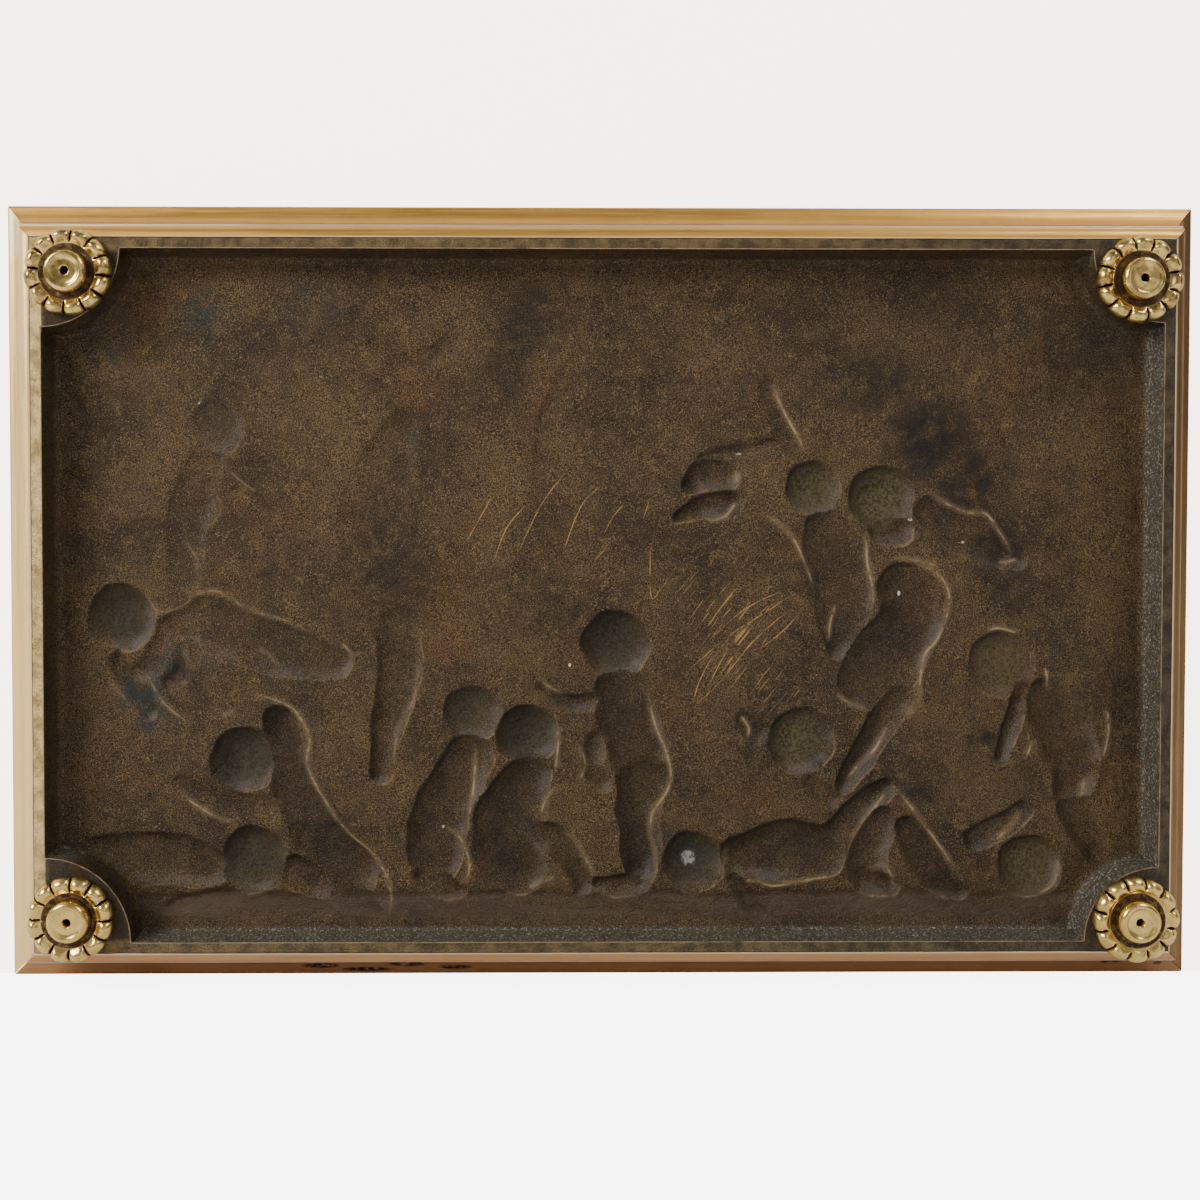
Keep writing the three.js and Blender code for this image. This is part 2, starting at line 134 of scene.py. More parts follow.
# Each figure: its head as across, up, radius and depth, its body and limbs as strokes of one depth with
# across, up and half-width at each place, and its crests as across and up, all in millimetres from the
# panel's middle. Wear is the share of the crests' brightness, worn metal and painted highlight, 1 where
# none is given.
figures = {
    "floating child": {
        "wear": 0.35, "head": (-160.5, 70, 11.5, 1.8),
        "strokes": [
            (1.5, [(-166.5, 52, 8.5), (-171, 39.5, 10), (-173.5, 25, 8.5), (-174.5, 8.5, 7.5)]),
            (1.2, [(-159.5, 56.5, 3), (-148.5, 46.5, 2.5), (-137, 35.5, 2)]),
        ],
        "crests": [
            [(-149, 69), (-153.5, 60), (-158.5, 55.5), (-150.5, 47), (-142.5, 41.5)],
            [(-160, 42), (-159.5, 34), (-166, 26.5)], [(-175.5, 23), (-170, 15.5), (-169, 6)],
        ],
    },
    "bending child": {
        "wear": 0.55, "head": (-200.5, -9.5, 14, 4.2),
        "strokes": [
            (2.0, [(-180.5, -15.5, 7.5), (-166.5, -11.5, 11), (-147.5, -19, 11.5), (-127, -25.5, 10),
                (-111, -29, 6.5)]),
            (1.5, [(-183.5, -19, 5), (-189.5, -30.5, 5), (-199, -35.5, 4)]),
            (1.5, [(-173, -23, 5.5), (-174.5, -31.5, 4.5), (-182, -36.5, 3.5)]),
            (1.8, [(-203, -28, 4), (-196, -40, 4.5), (-189, -48.5, 3.5)]),
        ],
        "crests": [
            [(-191.5, 2), (-185.5, -7), (-176, -5), (-168.5, 0.5), (-159.5, 1), (-147.5, -6.5),
                (-133, -10.5), (-120.5, -17)],
            [(-109, -20), (-105, -25.5), (-106, -30.5)],
            [(-144.5, -23), (-139.5, -25.5), (-135, -30.5)],
            [(-175.5, -21), (-173.5, -27.5), (-170.5, -32.5)], [(-207, -35.5), (-199, -44)],
            [(-189.5, -35), (-183.5, -45), (-173.5, -53.5)],
        ],
    },
    "crouching child": {
        "head": (-150, -69.5, 14, 5),
        "strokes": [
            (3.6, [(-135, -53.5, 7), (-132, -69.5, 9), (-125, -88.5, 11.5), (-114, -105.5, 12.5),
                (-105, -116, 11.5)]),
            (2.6, [(-108, -123, 8.5), (-101, -130.5, 7), (-96, -139, 5)]),
            (2.4, [(-128.5, -116, 7.5), (-117.5, -121, 7.5)]),
            (1.2, [(-177.9, -78.5, 2.9), (-164.5, -84.3, 4.2), (-151.1, -88.5, 5), (-138.5, -89.4, 5)]),
        ],
        "crests": [
            [(-150, -41), (-138.5, -43.5), (-130, -47.5), (-125, -54), (-122.5, -61.5), (-124, -71),
                (-120.5, -80), (-116.5, -87), (-111, -95), (-105, -102), (-98.5, -107), (-93.5, -113),
                (-89.5, -120.5), (-88.5, -129), (-90, -138.5)],
            [(-176, -84), (-163.5, -92.5), (-153.5, -96)], [(-159.5, -51), (-153.5, -48.5)],
        ],
    },
    "lying child": {
        "head": (-146, -111.5, 14.5, 3.6),
        "strokes": [
            (2.1, [(-165.5, -114.5, 9), (-181, -110.5, 11), (-202, -111, 11), (-215.5, -109.5, 7.5)]),
            (1.1, [(-157, -128, 5), (-170.5, -130, 5), (-181, -131.5, 3.5)]),
        ],
    },
    "tree": {
        "wear": 0.45,
        "strokes": [
            (1.4, [(-83, 71, 8), (-91, 52, 12), (-96, 31.5, 15), (-93, 8.5, 14), (-85.5, -12.5, 11)]),
            (2.4, [(-85.5, -12.5, 9.5), (-85, -35.5, 9), (-90.5, -56.5, 6.5), (-92.5, -75.5, 4)]),
            (1.2, [(-93.5, 104.5, 5), (-76.5, 97.5, 5), (-62, 104.5, 5)]),
            (1.0, [(-10.5, 96, 5.5), (-18.5, 83.5, 5), (-24, 69, 4.5), (-26, 50, 3.5)]),
        ],
        "crests": [
            [(-76.5, -19), (-77, -31.5), (-79, -44), (-85.5, -56.5), (-87.5, -71.5)],
        ],
    },
    "seated child": {
        "head": (-54.5, -50, 12, 2.8),
        "strokes": [
            (3.2, [(-55.5, -68, 10), (-63, -82, 11.5), (-69, -96.5, 12), (-70, -110.5, 11.5)]),
            (2.2, [(-73, -118.5, 6.5), (-65, -123, 5), (-60.5, -124.5, 3)]),
        ],
        "crests": [
            [(-53, -64), (-54, -82), (-56.5, -98)],
            [(-66, -98.5), (-59, -103.5), (-55.5, -114.5), (-59, -123.5)],
        ],
    },
    "kneeling child": {
        "head": (-31.5, -59, 13, 5),
        "strokes": [
            (3.8, [(-30.5, -76, 9), (-38, -91, 14), (-39.5, -107, 14.5), (-34, -116, 11)]),
            (2.6, [(-28.5, -100.5, 5.5), (-18.5, -103.5, 6.5), (-13, -112, 6), (-8, -123, 4)]),
        ],
        "crests": [
            [(-18.5, -53.5), (-18.5, -63), (-19.5, -74.5)],
            [(-30.5, -123.5), (-24, -121), (-19.5, -118.5)],
            [(-17, -99.5), (-10.5, -104), (-5.5, -113.5), (-2, -120.5)],
            [(-19.5, -81), (-23.5, -86), (-26, -93.5)],
        ],
    },
    "standing child": {
        "head": (6, -21, 14.5, 5),
        "strokes": [
            (3.6, [(8, -41.5, 11.5), (11.5, -55, 12.5), (15.5, -67.5, 12.5)]),
            (3.8, [(17.5, -77, 11.5), (15, -91, 9), (16, -105, 8.5), (16.5, -114.5, 6.5)]),
            (2.2, [(15.5, -121, 4.5), (6.5, -123.5, 4), (-2, -122, 3)]),
            (1.8, [(-4.5, -45, 4), (-13.5, -45, 3.5), (-24, -39, 3)]),
            (1.8, [(-2, -61.5, 4.5), (-4.5, -72.5, 4), (0.5, -79.5, 3.5)]),
        ],
        "crests": [
            [(19, -37), (20, -46), (23, -56.5), (27, -66), (29, -75.5), (27.5, -82.5), (22, -91),
                (20.5, -99.5), (22.5, -109), (23, -117.5), (19, -123.5)],
            [(-27, -35.5), (-21, -39.5), (-15.5, -42)], [(-9.5, -63), (-7, -71.5), (-10, -78.5)],
        ],
    },
    "leaves": {
        "strokes": [
            (2.4, [(36, 45.5, 3.5), (43.5, 50.5, 6.5), (51.5, 49.5, 5.5)]),
            (2.2, [(31.5, 32.5, 2.5), (41.5, 36.5, 5), (53.5, 38, 5.5)]),
            (1.4, [(41, 57.5, 1.5), (59.5, 61, 2.5), (74.5, 64.5, 2)]),
            (1.2, [(69.5, 88, 4), (73, 75.5, 4.5), (79.5, 62.5, 4.5)]),
        ],
        "crests": [
            [(56, 52), (56.5, 46.5)], [(56.5, 39.5), (51.5, 33), (43.5, 30.5)],
            [(71, 90), (73.5, 81.5), (79.5, 70), (85, 60)],
        ],
    },
    "reaching child": {
        "head": (88, 45, 11.5, 4.4),
        "strokes": [
            (2.6, [(93.5, 28, 8.5), (98, 13.5, 14), (101, -1.5, 13), (100.5, -13, 9), (98.5, -23, 5)]),
        ],
        "crests": [
            [(110.5, 28), (111, 14.5), (113.5, 2), (113.5, -5.5)],
            [(98.5, -4), (96, -12.5), (95.5, -20.5)], [(67, 34.5), (78.5, 25.5), (85, 13.5), (89.5, 1)],
        ],
    },
    "winged child": {
        "head": (117, 40.5, 14, 4.6),
        "strokes": [
            (3.2, [(119.5, 29.5, 9), (124.5, 26.5, 6)]),
            (1.8, [(138, 34.5, 7), (150, 27, 8.5), (162.5, 19.5, 6.5), (175, 14.5, 3.5)]),
        ],
        "crests": [
            [(135, 44.5), (142, 39.5), (152.5, 34.5), (160.5, 34), (166, 27), (173, 16)],
            [(166.5, 13.5), (175, 14.5)], [(121.5, 15.5), (132, 14.5), (140.5, 12)],
        ],
    },
    "leaping child": {
        "strokes": [
            (3.6, [(126.5, 3, 11), (130.5, -4, 13), (126.5, -17.5, 13.5), (118, -29, 16),
                (113, -35.5, 13.5)]),
            (3.0, [(124.5, -44, 7), (116, -56.5, 6), (108.5, -70, 5.5), (102, -79.5, 4)]),
        ],
        "crests": [
            [(129, 13.5), (137, 11), (143.5, 5.5), (145.5, -2), (144, -10.5), (140.5, -19),
                (135.5, -25.5), (133.5, -35.5), (133, -46), (126.5, -53.5)],
            [(98.5, -41), (103.5, -45.5), (110.5, -47.5)],
            [(120.5, -55.5), (115.5, -65), (108.5, -72.5), (103, -79)],
        ],
    },
    "sitting child": {
        "head": (83.5, -61.5, 14, 3.6),
        "strokes": [
            (1.6, [(66, -57.5, 5), (60, -53.5, 4)]),
            (1.6, [(88, -80, 4), (97, -86, 4)]),
        ],
        "crests": [
            [(58.5, -51), (62, -56.5), (61, -60)],
        ],
    },
    "resting child": {
        "head": (38.5, -112.5, 13, 4.0),
        "strokes": [
            (3.6, [(58.5, -110.5, 9), (76, -108, 13), (92, -108, 11.5)]),
            (2.6, [(98, -103, 6.5), (108.5, -91, 6.5), (119, -82, 4)]),
            (2.0, [(56, -120.5, 4), (62, -129, 4), (67, -136.5, 3.5)]),
        ],
        "crests": [
            [(52.5, -107), (52, -114.5)], [(64, -119.5), (72, -123), (85, -120.5), (98.5, -118.5)],
            [(103, -113.5), (105, -105.5), (111, -95), (121.5, -82)],
        ],
    },
    "climbing child": {
        "strokes": [
            (2.8, [(118, -95, 6), (112, -108, 9), (113, -119.5, 7), (121.5, -123.5, 4)]),
            (2.6, [(128, -98, 5), (135.5, -109.5, 8), (143, -120.5, 6.5), (150.5, -125.5, 3.5)]),
        ],
        "crests": [
            [(121.5, -79.5), (129, -88), (137, -98.5), (144.5, -109), (150.5, -118.5)],
            [(113, -118), (119.5, -114.5), (124.5, -124.5)],
        ],
    },
    "stooping child": {
        "head": (168, -29, 14, 2.8),
        "strokes": [
            (3.0, [(186, -44, 8.5), (195, -58.5, 12), (199, -72.5, 10.5), (197.5, -82.5, 7.5)]),
            (2.8, [(200, -91, 8), (206.5, -103.5, 6.5), (211, -112, 4)]),
            (2.4, [(177.5, -40, 4), (172.5, -54, 4), (168, -68.5, 3)]),
        ],
        "crests": [
            [(160.5, -15.5), (166.5, -14), (175, -16.5)], [(204, -77.5), (202.5, -86)],
            [(186, -30.5), (188.5, -40)], [(181.5, -61), (178.5, -68.5)],
            [(212, -46.5), (213.5, -57.5), (211, -69.5)],
        ],
    },
    "corner child": {
        "head": (180.5, -114.5, 13.5, 3.6),
        "strokes": [
            (2.0, [(157.5, -103.5, 5), (167.5, -98, 5.5), (177.5, -91, 4)]),
        ],
        "crests": [
            [(166.5, -103.5), (172.5, -98), (177.5, -91)], [(192.5, -112), (191.5, -121), (185, -127)],
        ],
    },
}

# Stained places as across, up, radius and strength
dark_stains = [
    (118, 88, 14, 0.8), (136, 66, 17, 1.0), (152, 48, 15, 0.9), (168, 22, 11, 0.8), (173, 2, 9, 0.6),
    (161, -62, 5, 1.0), (136, -85, 4, 0.9), (-38, 101, 13, 0.6), (-29, 116, 16, 0.7),
    (-27, -12, 11, 0.35), (-82, 6, 12, 0.45), (200, 104, 22, 0.6), (-215, 20, 12, 0.5),
    (140, 118, 20, 0.35), (-140, 10, 3, 0.7),
]
green_stains = [
    (-193, -42, 9, 1.0), (-187, -54, 6, 0.8), (-175, -28, 7, 0.8), (-167, 118, 9, 0.7),
    (-206, 112, 12, 0.5), (36, -112, 9, 0.9), (-160, -30, 5, 0.5), (-120, 120, 14, 0.35),
]

# White flecks as across, up, half sizes and strength, in millimetres from the panel's middle
white_flecks = [
    (-167.9, 79.9, 0.5, 0.6, 1), (-13.6, -29.5, 0.6, 0.9, 1), (125.5, 0.3, 0.7, 1.2, 1),
    (-66.9, -98.6, 0.6, 0.7, 1), (36.9, -112, 3.4, 3.9, 0.5), (57, 59, 1.6, 0.6, 0.7),
    (129, 31.5, 1.2, 0.8, 0.7), (151, 22, 1.6, 0.6, 0.6),
]

# Single long scratches as across and up, in millimetres from the panel's middle
long_scratches = [
    [(-46, 42), (-49, 36), (-57, 22)], [(-32, 37.5), (-40, 28), (-45.5, 14)],
    [(-16.5, 50), (-26, 37), (-35, 18)], [(0.5, 46.5), (-9, 37), (-17, 16)],
    [(9, 38), (4, 32), (0.5, 25)], [(4, 23.5), (0, 18), (-3.5, 14)],
    [(20, 40.5), (18.5, 36), (17.5, 33)], [(20, 20.5), (20.5, -1), (25, 3), (31, 11.5)],
    [(80, 0.5), (66, -9), (52, -18), (36, -32)], [(80, -5), (64, -19), (50, -36), (39.5, -46.5)],
    [(76, 2), (60, -6), (44, -20)], [(70, -4), (58, -16), (46, -27)], [(84, -6), (76, -15), (66, -23)],
    [(46, -26), (41, -36), (38, -46)], [(62, -12), (52, -24), (44, -40)],
]


def recess_distance(across, up):
    """Distance inside the recess from its upper edge, below zero on the rim and the pads."""
    inside = np.minimum(recess_half[0] - abs(across), recess_half[1] - abs(up))
    for corner in corners.values():
        side = corner["side"]
        reach = np.hypot(across - side[0] * recess_half[0], up - side[1] * recess_half[1])
        inside = np.minimum(inside, reach - corner["pad"])
    return inside


def recess_slope(across, up):
    """Direction in which the distance inside the recess grows, as across and up."""
    slope_x = recess_distance(across + slope_nudge, up) - recess_distance(across - slope_nudge, up)
    slope_z = recess_distance(across, up + slope_nudge) - recess_distance(across, up - slope_nudge)
    return slope_x / (2 * slope_nudge), slope_z / (2 * slope_nudge)


def waves(across, up, length, seed, count=14):
    """Smooth unevenness between about -1 and 1, from waves in many directions."""
    draw = np.random.default_rng(seed)
    total = np.zeros_like(across)
    for _ in range(count):
        angle = draw.uniform(0, 2 * math.pi)
        pitch = 2 * math.pi / (length * draw.uniform(0.7, 1.5))
        shift = draw.uniform(0, 2 * math.pi)
        total += np.cos(pitch * (across * math.cos(angle) + up * math.sin(angle)) + shift)
    return total / math.sqrt(count)


def on_curve(p, q, r, t, s):
    """The value a share s of the way from q to r, on a smooth curve through all four."""
    bend = 2 * p - 5 * q + 4 * r - t
    twist = 3 * q - p - 3 * r + t
    return 0.5 * (2 * q + (r - p) * s + bend * s * s + twist * s**3)


def soft_curve(points, steps):
    """A smooth line that passes through points of any number of values."""
    padded = [points[0], *points, points[-1]]
    line = [
        tuple(on_curve(*values, step / steps) for values in zip(*four))
        for four in zip(padded, padded[1:], padded[2:], padded[3:])
        for step in range(steps)
    ]
    return [*line, points[-1]]


def smooth_max(first, second, blend):
    """The larger of two heights, with a rounded change from one to the other."""
    share = np.clip(0.5 + (first - second) / (2 * blend), 0, 1)
    return second + share * (first - second) + blend * share * (1 - share)


def stroke_cut(across, up, deep, line, sharpness):
    """Sunk depth of one stroke, distance past its outline, and how far that outline faces the light."""
    share, past = (np.full_like(across, out_of_reach) for _ in range(2))
    lean = np.zeros_like(across)
    for (x0, z0, r0), (x1, z1, r1) in zip(line, line[1:]):
        dx, dz = x1 - x0, z1 - z0
        along = np.clip(((across - x0) * dx + (up - z0) * dz) / max(dx * dx + dz * dz, 1e-9), 0, 1)
        off_x, off_z = across - x0 - along * dx, up - z0 - along * dz
        away = np.hypot(off_x, off_z)
        radius = r0 + along * (r1 - r0)
        closer = away / radius < share
        share = np.where(closer, away / radius, share)
        past = np.where(closer, away - radius, past)
        facing = (off_x * to_light[0] + off_z * to_light[1]) / np.maximum(away, 1e-6)
        lean = np.where(closer, facing, lean)
    tilt = 1 + light_lean * lean * np.minimum(share, 1)
    return deep * (1 - share**sharpness) * tilt, past, lean


def window(across, up, lines, margin):
    """Which points lie within a margin of the lines' bounding box."""
    places = np.array([place[:2] for line in lines for place in line])
    low, high = places.min(0) - margin, places.max(0) + margin
    return (across > low[0]) & (across < high[0]) & (up > low[1]) & (up < high[1])


def beside_line(across, up, line):
    """Distance to a line, below zero on its right, and a share that fades at both of its ends."""
    side = np.full_like(across, far_off)
    share = np.zeros_like(across)
    lengths = [math.dist(start, end) for start, end in zip(line, line[1:])]
    run = 0
    for (x0, z0), (x1, z1), length in zip(line, line[1:], lengths):
        dx, dz = (x1 - x0) / length, (z1 - z0) / length
        along = np.clip((across - x0) * dx + (up - z0) * dz, 0, length)
        off_x, off_z = across - x0 - along * dx, up - z0 - along * dz
        away = np.hypot(off_x, off_z)
        closer = away < abs(side)
        side = np.where(closer, np.copysign(away, dx * off_z - dz * off_x), side)
        share = np.where(closer, (run + along) / sum(lengths), share)
        run += length
    return side, np.clip(end_fade * np.minimum(share, 1 - share), 0, 1)


def nearest_line(across, up, lines, reach):
    """Signed distance to the nearest of many lines, and its strength, nought beyond a reach."""
    side = np.full_like(across, far_off)
    share = np.zeros_like(across)
    for places, strength in lines:
        line = soft_curve(places, curve_steps)
        near = window(across, up, [line], reach)
        here, fade = beside_line(across[near], up[near], line)
        closer = abs(here) < abs(side[near])
        side[near] = np.where(closer, here, side[near])
        share[near] = np.where(closer, strength * fade * (abs(here) < reach), share[near])
    return side, share


def sunk_figures(across, up):
    """Depth of the figures below the field, their bowls, and their outlines with the side they face."""
    wobble_x, wobble_z = (
        place + wander * waves(across, up, *slow) + tremble * waves(across, up, *quick)
        for place, slow, quick in zip((across, up), wander_waves, tremble_waves)
    )
    depth, bowl, facing = (np.zeros_like(across) for _ in range(3))
    outline = np.full_like(across, far_off)
    for figure in figures.values():
        strokes = [
            (deep, soft_curve(places, curve_steps), stroke_sharpness, stroke_blend)
            for deep, places in figure["strokes"]
        ]
        if "head" in figure:
            x, z, radius, deep = figure["head"]
            strokes.append((deep, [(x, z, radius), (x, z, radius)], bowl_sharpness, bowl_blend))
        near = window(across, up, [line for _, line, _, _ in strokes], figure_margin)
        raw, edge, turned = (np.full(near.sum(), start) for start in (-float(out_of_reach), far_off, 0.0))
        for deep, line, sharpness, blend in strokes:
            cut, past, lean = stroke_cut(wobble_x[near], wobble_z[near], deep, line, sharpness)
            raw = smooth_max(np.maximum(cut, -out_of_reach), raw, blend)
            if sharpness == bowl_sharpness:
                bowl[near] = np.maximum(bowl[near], np.clip(cut / full_bowl_depth, 0, 1))
            nearest = past < edge
            edge = np.where(nearest, past, edge)
            turned = np.where(nearest, lean * min(1, deep / full_facing_depth) ** 2, turned)
        cut = smooth_max(raw, 0 * raw, field_blend)
        deeper = (cut > depth[near]) | (edge < outline[near])
        outline[near] = np.where(deeper, edge, outline[near])
        facing[near] = np.where(deeper, turned, facing[near])
        depth[near] = np.maximum(depth[near], cut)
    return depth, bowl, outline, facing


def blotches(across, up, places):
    """Soft round patches, with uneven outlines."""
    across = across + stain_wander * waves(across, up, *stain_waves[0])
    up = up + stain_wander * waves(across, up, *stain_waves[1])
    total = np.zeros_like(across)
    for x, z, radius, strength in places:
        away = np.hypot(across - x, up - z) / radius
        total = np.maximum(total, strength * np.clip(patch_end - away, 0, 1))
    return total


def panel_surface(across, up):
    """Height off the wall, and the values that the patina is painted by, over the front."""
    inside = recess_distance(across, up)
    depth, bowl, outline, facing = sunk_figures(across, up)
    crests = [
        (places, figure.get("wear", 1))
        for figure in figures.values()
        for places in figure.get("crests", [])
    ]
    crest_side, crest_share = nearest_line(across, up, crests, crest_reach)
    scored_lines = [(places, 1) for places in long_scratches]
    scratch_side, scratch_share = nearest_line(across, up, scored_lines, scratch_reach)
    from_wall = np.clip((inside - wall_draft) / cove_radius, 0, 1)
    cove = cove_radius * (1 - np.sqrt(1 - (1 - from_wall) ** 2))
    ledge_line = ledge_up + ledge_wave * waves(across, up, *ledge_waves)
    ground = np.clip((ledge_line - up) / ledge_slope, 0, 1)
    soft = hand_wave * waves(across, up, *hand_waves) + tool_mark * waves(across, up, *tool_waves)
    rough = bowl_pit * waves(across, up, *bowl_waves) * bowl
    rough += (ledge_pit * waves(across, up, *ledge_pit_waves) - ledge_drop) * ground
    rough += body_work * waves(across, up, *body_waves) * np.clip(depth / body_full_depth, 0, 1)
    crest = crest_height * crest_share * np.exp(-((crest_side / crest_width) ** 2))
    lip = lip_height * np.exp(-((outline / lip_width) ** 2)) * np.clip(-facing, 0, 1)
    faded = np.clip((inside - wall_draft - cove_radius / 2) / field_fade, 0, 1)
    height = field_level + cove + faded * (soft + rough + crest + lip - depth)
    height = np.where(inside <= edge_tolerance, rim_level, np.minimum(height, rim_level))
    from_edge = np.minimum(panel_half[0] - abs(across), panel_half[1] - abs(up))
    slope_x, slope_z = recess_slope(across, up)
    leaned = across - scored_middle[0] + scored_lean * (up - scored_middle[1])
    scored_reach = np.hypot(leaned / scored_half[0], (up - scored_middle[1]) / scored_half[1])
    return {
        "height": height,
        "inside": np.clip(inside, rim_inside, deep_inside),
        "from_edge": np.clip(from_edge, 0, deep_inside),
        "hollow": faded * np.clip(depth / full_hollow_depth, 0, 1),
        "bowl": faded * bowl,
        "outline": outline,
        "facing": facing * faded,
        "crest_side": crest_side,
        "crest_share": crest_share,
        "scratch_side": scratch_side,
        "scratch_share": scratch_share,
        "stain": blotches(across, up, dark_stains) * (inside > 0),
        "green": blotches(across, up, green_stains) * (inside > 0),
        "ground": ground * faded,
        "lit_wall": np.clip(slope_x * to_light[0] + slope_z * to_light[1], 0, 1),
        "scored": np.clip(patch_end - scored_reach, 0, 1),
    }


def snapped_grid():
    """A grid over the front whose points next to the recess edge are moved onto its top and foot."""
    columns = round(2 * panel_half[0] / grid_step) + 1
    lower_rows = round((upper_from + panel_half[1]) / grid_step)
    upper_rows = round((panel_half[1] - upper_from) / upper_step) + 1
    across, up = np.meshgrid(
        np.linspace(-panel_half[0], panel_half[0], columns),
        np.concatenate(
            [
                np.linspace(-panel_half[1], upper_from, lower_rows, endpoint=False),
                np.linspace(upper_from, panel_half[1], upper_rows),
            ]
        ),
    )
    inside = recess_distance(across, up)
    low = inside > 0
    near_low = np.zeros_like(low)
    near_high = np.zeros_like(low)
    for shift_row in (-1, 0, 1):
        for shift_column in (-1, 0, 1):
            other = np.roll(low, (shift_row, shift_column), (0, 1))
            near_low |= other
            near_high |= ~other
    slope_x, slope_z = recess_slope(across, up)
    move = np.where(low & near_high, wall_draft - inside, np.where(~low & near_low, -inside, 0))
    return across + move * slope_x, up + move * slope_z


def mesh_object(name, points, faces):
    """A new object from points in metres and lists of corner indices."""
    mesh = bpy.data.meshes.new(name)
    mesh.from_pydata(points, [], faces)
    mesh.validate()
    made = bpy.data.objects.new(name, mesh)
    bpy.context.scene.collection.objects.link(made)
    return made


def finished_mesh(thing):
    """Replaces an object's mesh by its evaluated one, and drops its modifiers."""
    view = bpy.context.evaluated_depsgraph_get()
    evaluated = thing.evaluated_get(view)
    made = bpy.data.meshes.new_from_object(evaluated)
    thing.modifiers.clear()
    thing.data = made
    made.name = thing.name


def cut_away(thing, tool):
    """Cuts the tool's shape out of a thing and throws the tool away."""
    cut = thing.modifiers.new("cut", "BOOLEAN")
    cut.operation = "DIFFERENCE"
    cut.solver = "MANIFOLD"
    cut.object = tool
    finished_mesh(thing)
    bpy.data.objects.remove(tool)


def block(name, half, bottom, top):
    """A box on the panel's middle, in millimetres, with heights off the wall."""
    points = [
        (panel_middle.x + sx * half[0] * MM, -level * MM, panel_middle.z + sz * half[1] * MM)
        for level in (bottom, top)
        for sx, sz in ((-1, -1), (1, -1), (1, 1), (-1, 1))
    ]
    faces = [(0, 3, 2, 1), (4, 5, 6, 7), (0, 1, 5, 4), (1, 2, 6, 5), (2, 3, 7, 6), (3, 0, 4, 7)]
    return mesh_object(name, points, faces)


def post(name, place, radius, bottom, top, sides=32):
    """A round post square to the wall, in millimetres from the panel's middle."""
    turns = [2 * math.pi * i / sides for i in range(sides)]
    points = [
        (
            panel_middle.x + (place[0] + radius * math.cos(turn)) * MM,
            -level * MM,
            panel_middle.z + (place[1] + radius * math.sin(turn)) * MM,
        )
        for level in (bottom, top)
        for turn in turns
    ]
    faces = [tuple(reversed(range(sides))), tuple(range(sides, 2 * sides))]
    faces += [(i, (i + 1) % sides, sides + (i + 1) % sides, sides + i) for i in range(sides)]
    return mesh_object(name, points, faces)


def keep_value(mesh, name, values):
    """Keeps one value for each point of a mesh, under a name that its material reads."""
    mesh.attributes.new(name, "FLOAT", "POINT").data.foreach_set("value", values)


def shade_smooth(mesh, degrees):
    """Shades a mesh smooth, but for the edges that turn by more than an angle."""
    mesh.polygons.foreach_set("use_smooth", [True] * len(mesh.polygons))
    mesh.set_sharp_from_angle(angle=math.radians(degrees))


grid_across, grid_up = snapped_grid()
front = panel_surface(grid_across, grid_up)["height"]
edge_rows, edge_columns = grid_across.shape
index = np.arange(edge_rows * edge_columns).reshape(edge_rows, edge_columns)
points = np.stack(
    [
        panel_middle.x + grid_across * MM,
        -front * MM,
        panel_middle.z + grid_up * MM,
    ],
    -1,
).reshape(-1, 3)
cells = np.stack([index[:-1, :-1], index[:-1, 1:], index[1:, 1:], index[1:, :-1]], -1).reshape(-1, 4)
rim_loop = np.concatenate([index[0, :-1], index[:-1, -1], index[-1, :0:-1], index[:0:-1, 0]])
back_points = points[rim_loop] * (1, 0, 1)
back_loop = len(points) + np.arange(len(rim_loop))
sides = np.stack([rim_loop, back_loop, np.roll(back_loop, -1), np.roll(rim_loop, -1)], -1)
panel = mesh_object(
    "relief_panel_cast",
    np.concatenate([points, back_points]).tolist(),
    cells.tolist() + sides.tolist() + [back_loop[::-1].tolist()],
)

hollow_half = (panel_half[0] - skirt_width, panel_half[1] - skirt_width)
hollow = block("back_hollow", hollow_half, -overcut, back_hollow)
for corner in corners.values():
    cut_away(hollow, post("boss", corner["rosette"], boss_radius, -2 * overcut, back_hollow + overcut))
cut_away(panel, hollow)
for corner in corners.values():
    drill = post("fixing_hole", corner["rosette"], fixing_hole_radius, -overcut, rim_level + overcut)
    cut_away(panel, drill)

panel_mesh = panel.data
spots = np.zeros(len(panel_mesh.vertices) * 3)
panel_mesh.vertices.foreach_get("co", spots)
spots = spots.reshape(-1, 3) / MM
masks = panel_surface(spots[:, 0] - panel_middle.x / MM, spots[:, 2] - panel_middle.z / MM)
in_front = -spots[:, 1] > back_hollow + overcut / 2
masks.pop("height")
plain_back = {"inside": deep_inside, "outline": far_off}
for name, mask in masks.items():
    values = np.where(in_front, mask, plain_back.get(name, 0))
    keep_value(panel_mesh, name, values.astype(np.float32))
shade_smooth(panel_mesh, panel_crease)


def put(tree, kind, inputs=None, **settings):
    """Adds a node, sets its properties, and fills its inputs with values or with other sockets."""
    made = tree.nodes.new(kind)
    for name, value in settings.items():
        setattr(made, name, value)
    for name, value in (inputs or {}).items():
        if isinstance(value, bpy.types.NodeSocket):
            tree.links.new(value, made.inputs[name])
        else:
            made.inputs[name].default_value = value
    return made


def math_node(tree, operation, *values):
    """A math node on up to three values or sockets."""
    return put(tree, "ShaderNodeMath", dict(enumerate(values)), operation=operation).outputs[0]


def product(tree, *shares):
    """All the values or sockets multiplied together."""
    whole = shares[0]
    for share in shares[1:]:
        whole = math_node(tree, "MULTIPLY", whole, share)
    return whole


def vector_node(tree, operation, first, second):
    """A vector math node on two vectors or sockets."""
    return put(tree, "ShaderNodeVectorMath", {0: first, 1: second}, operation=operation).outputs[0]


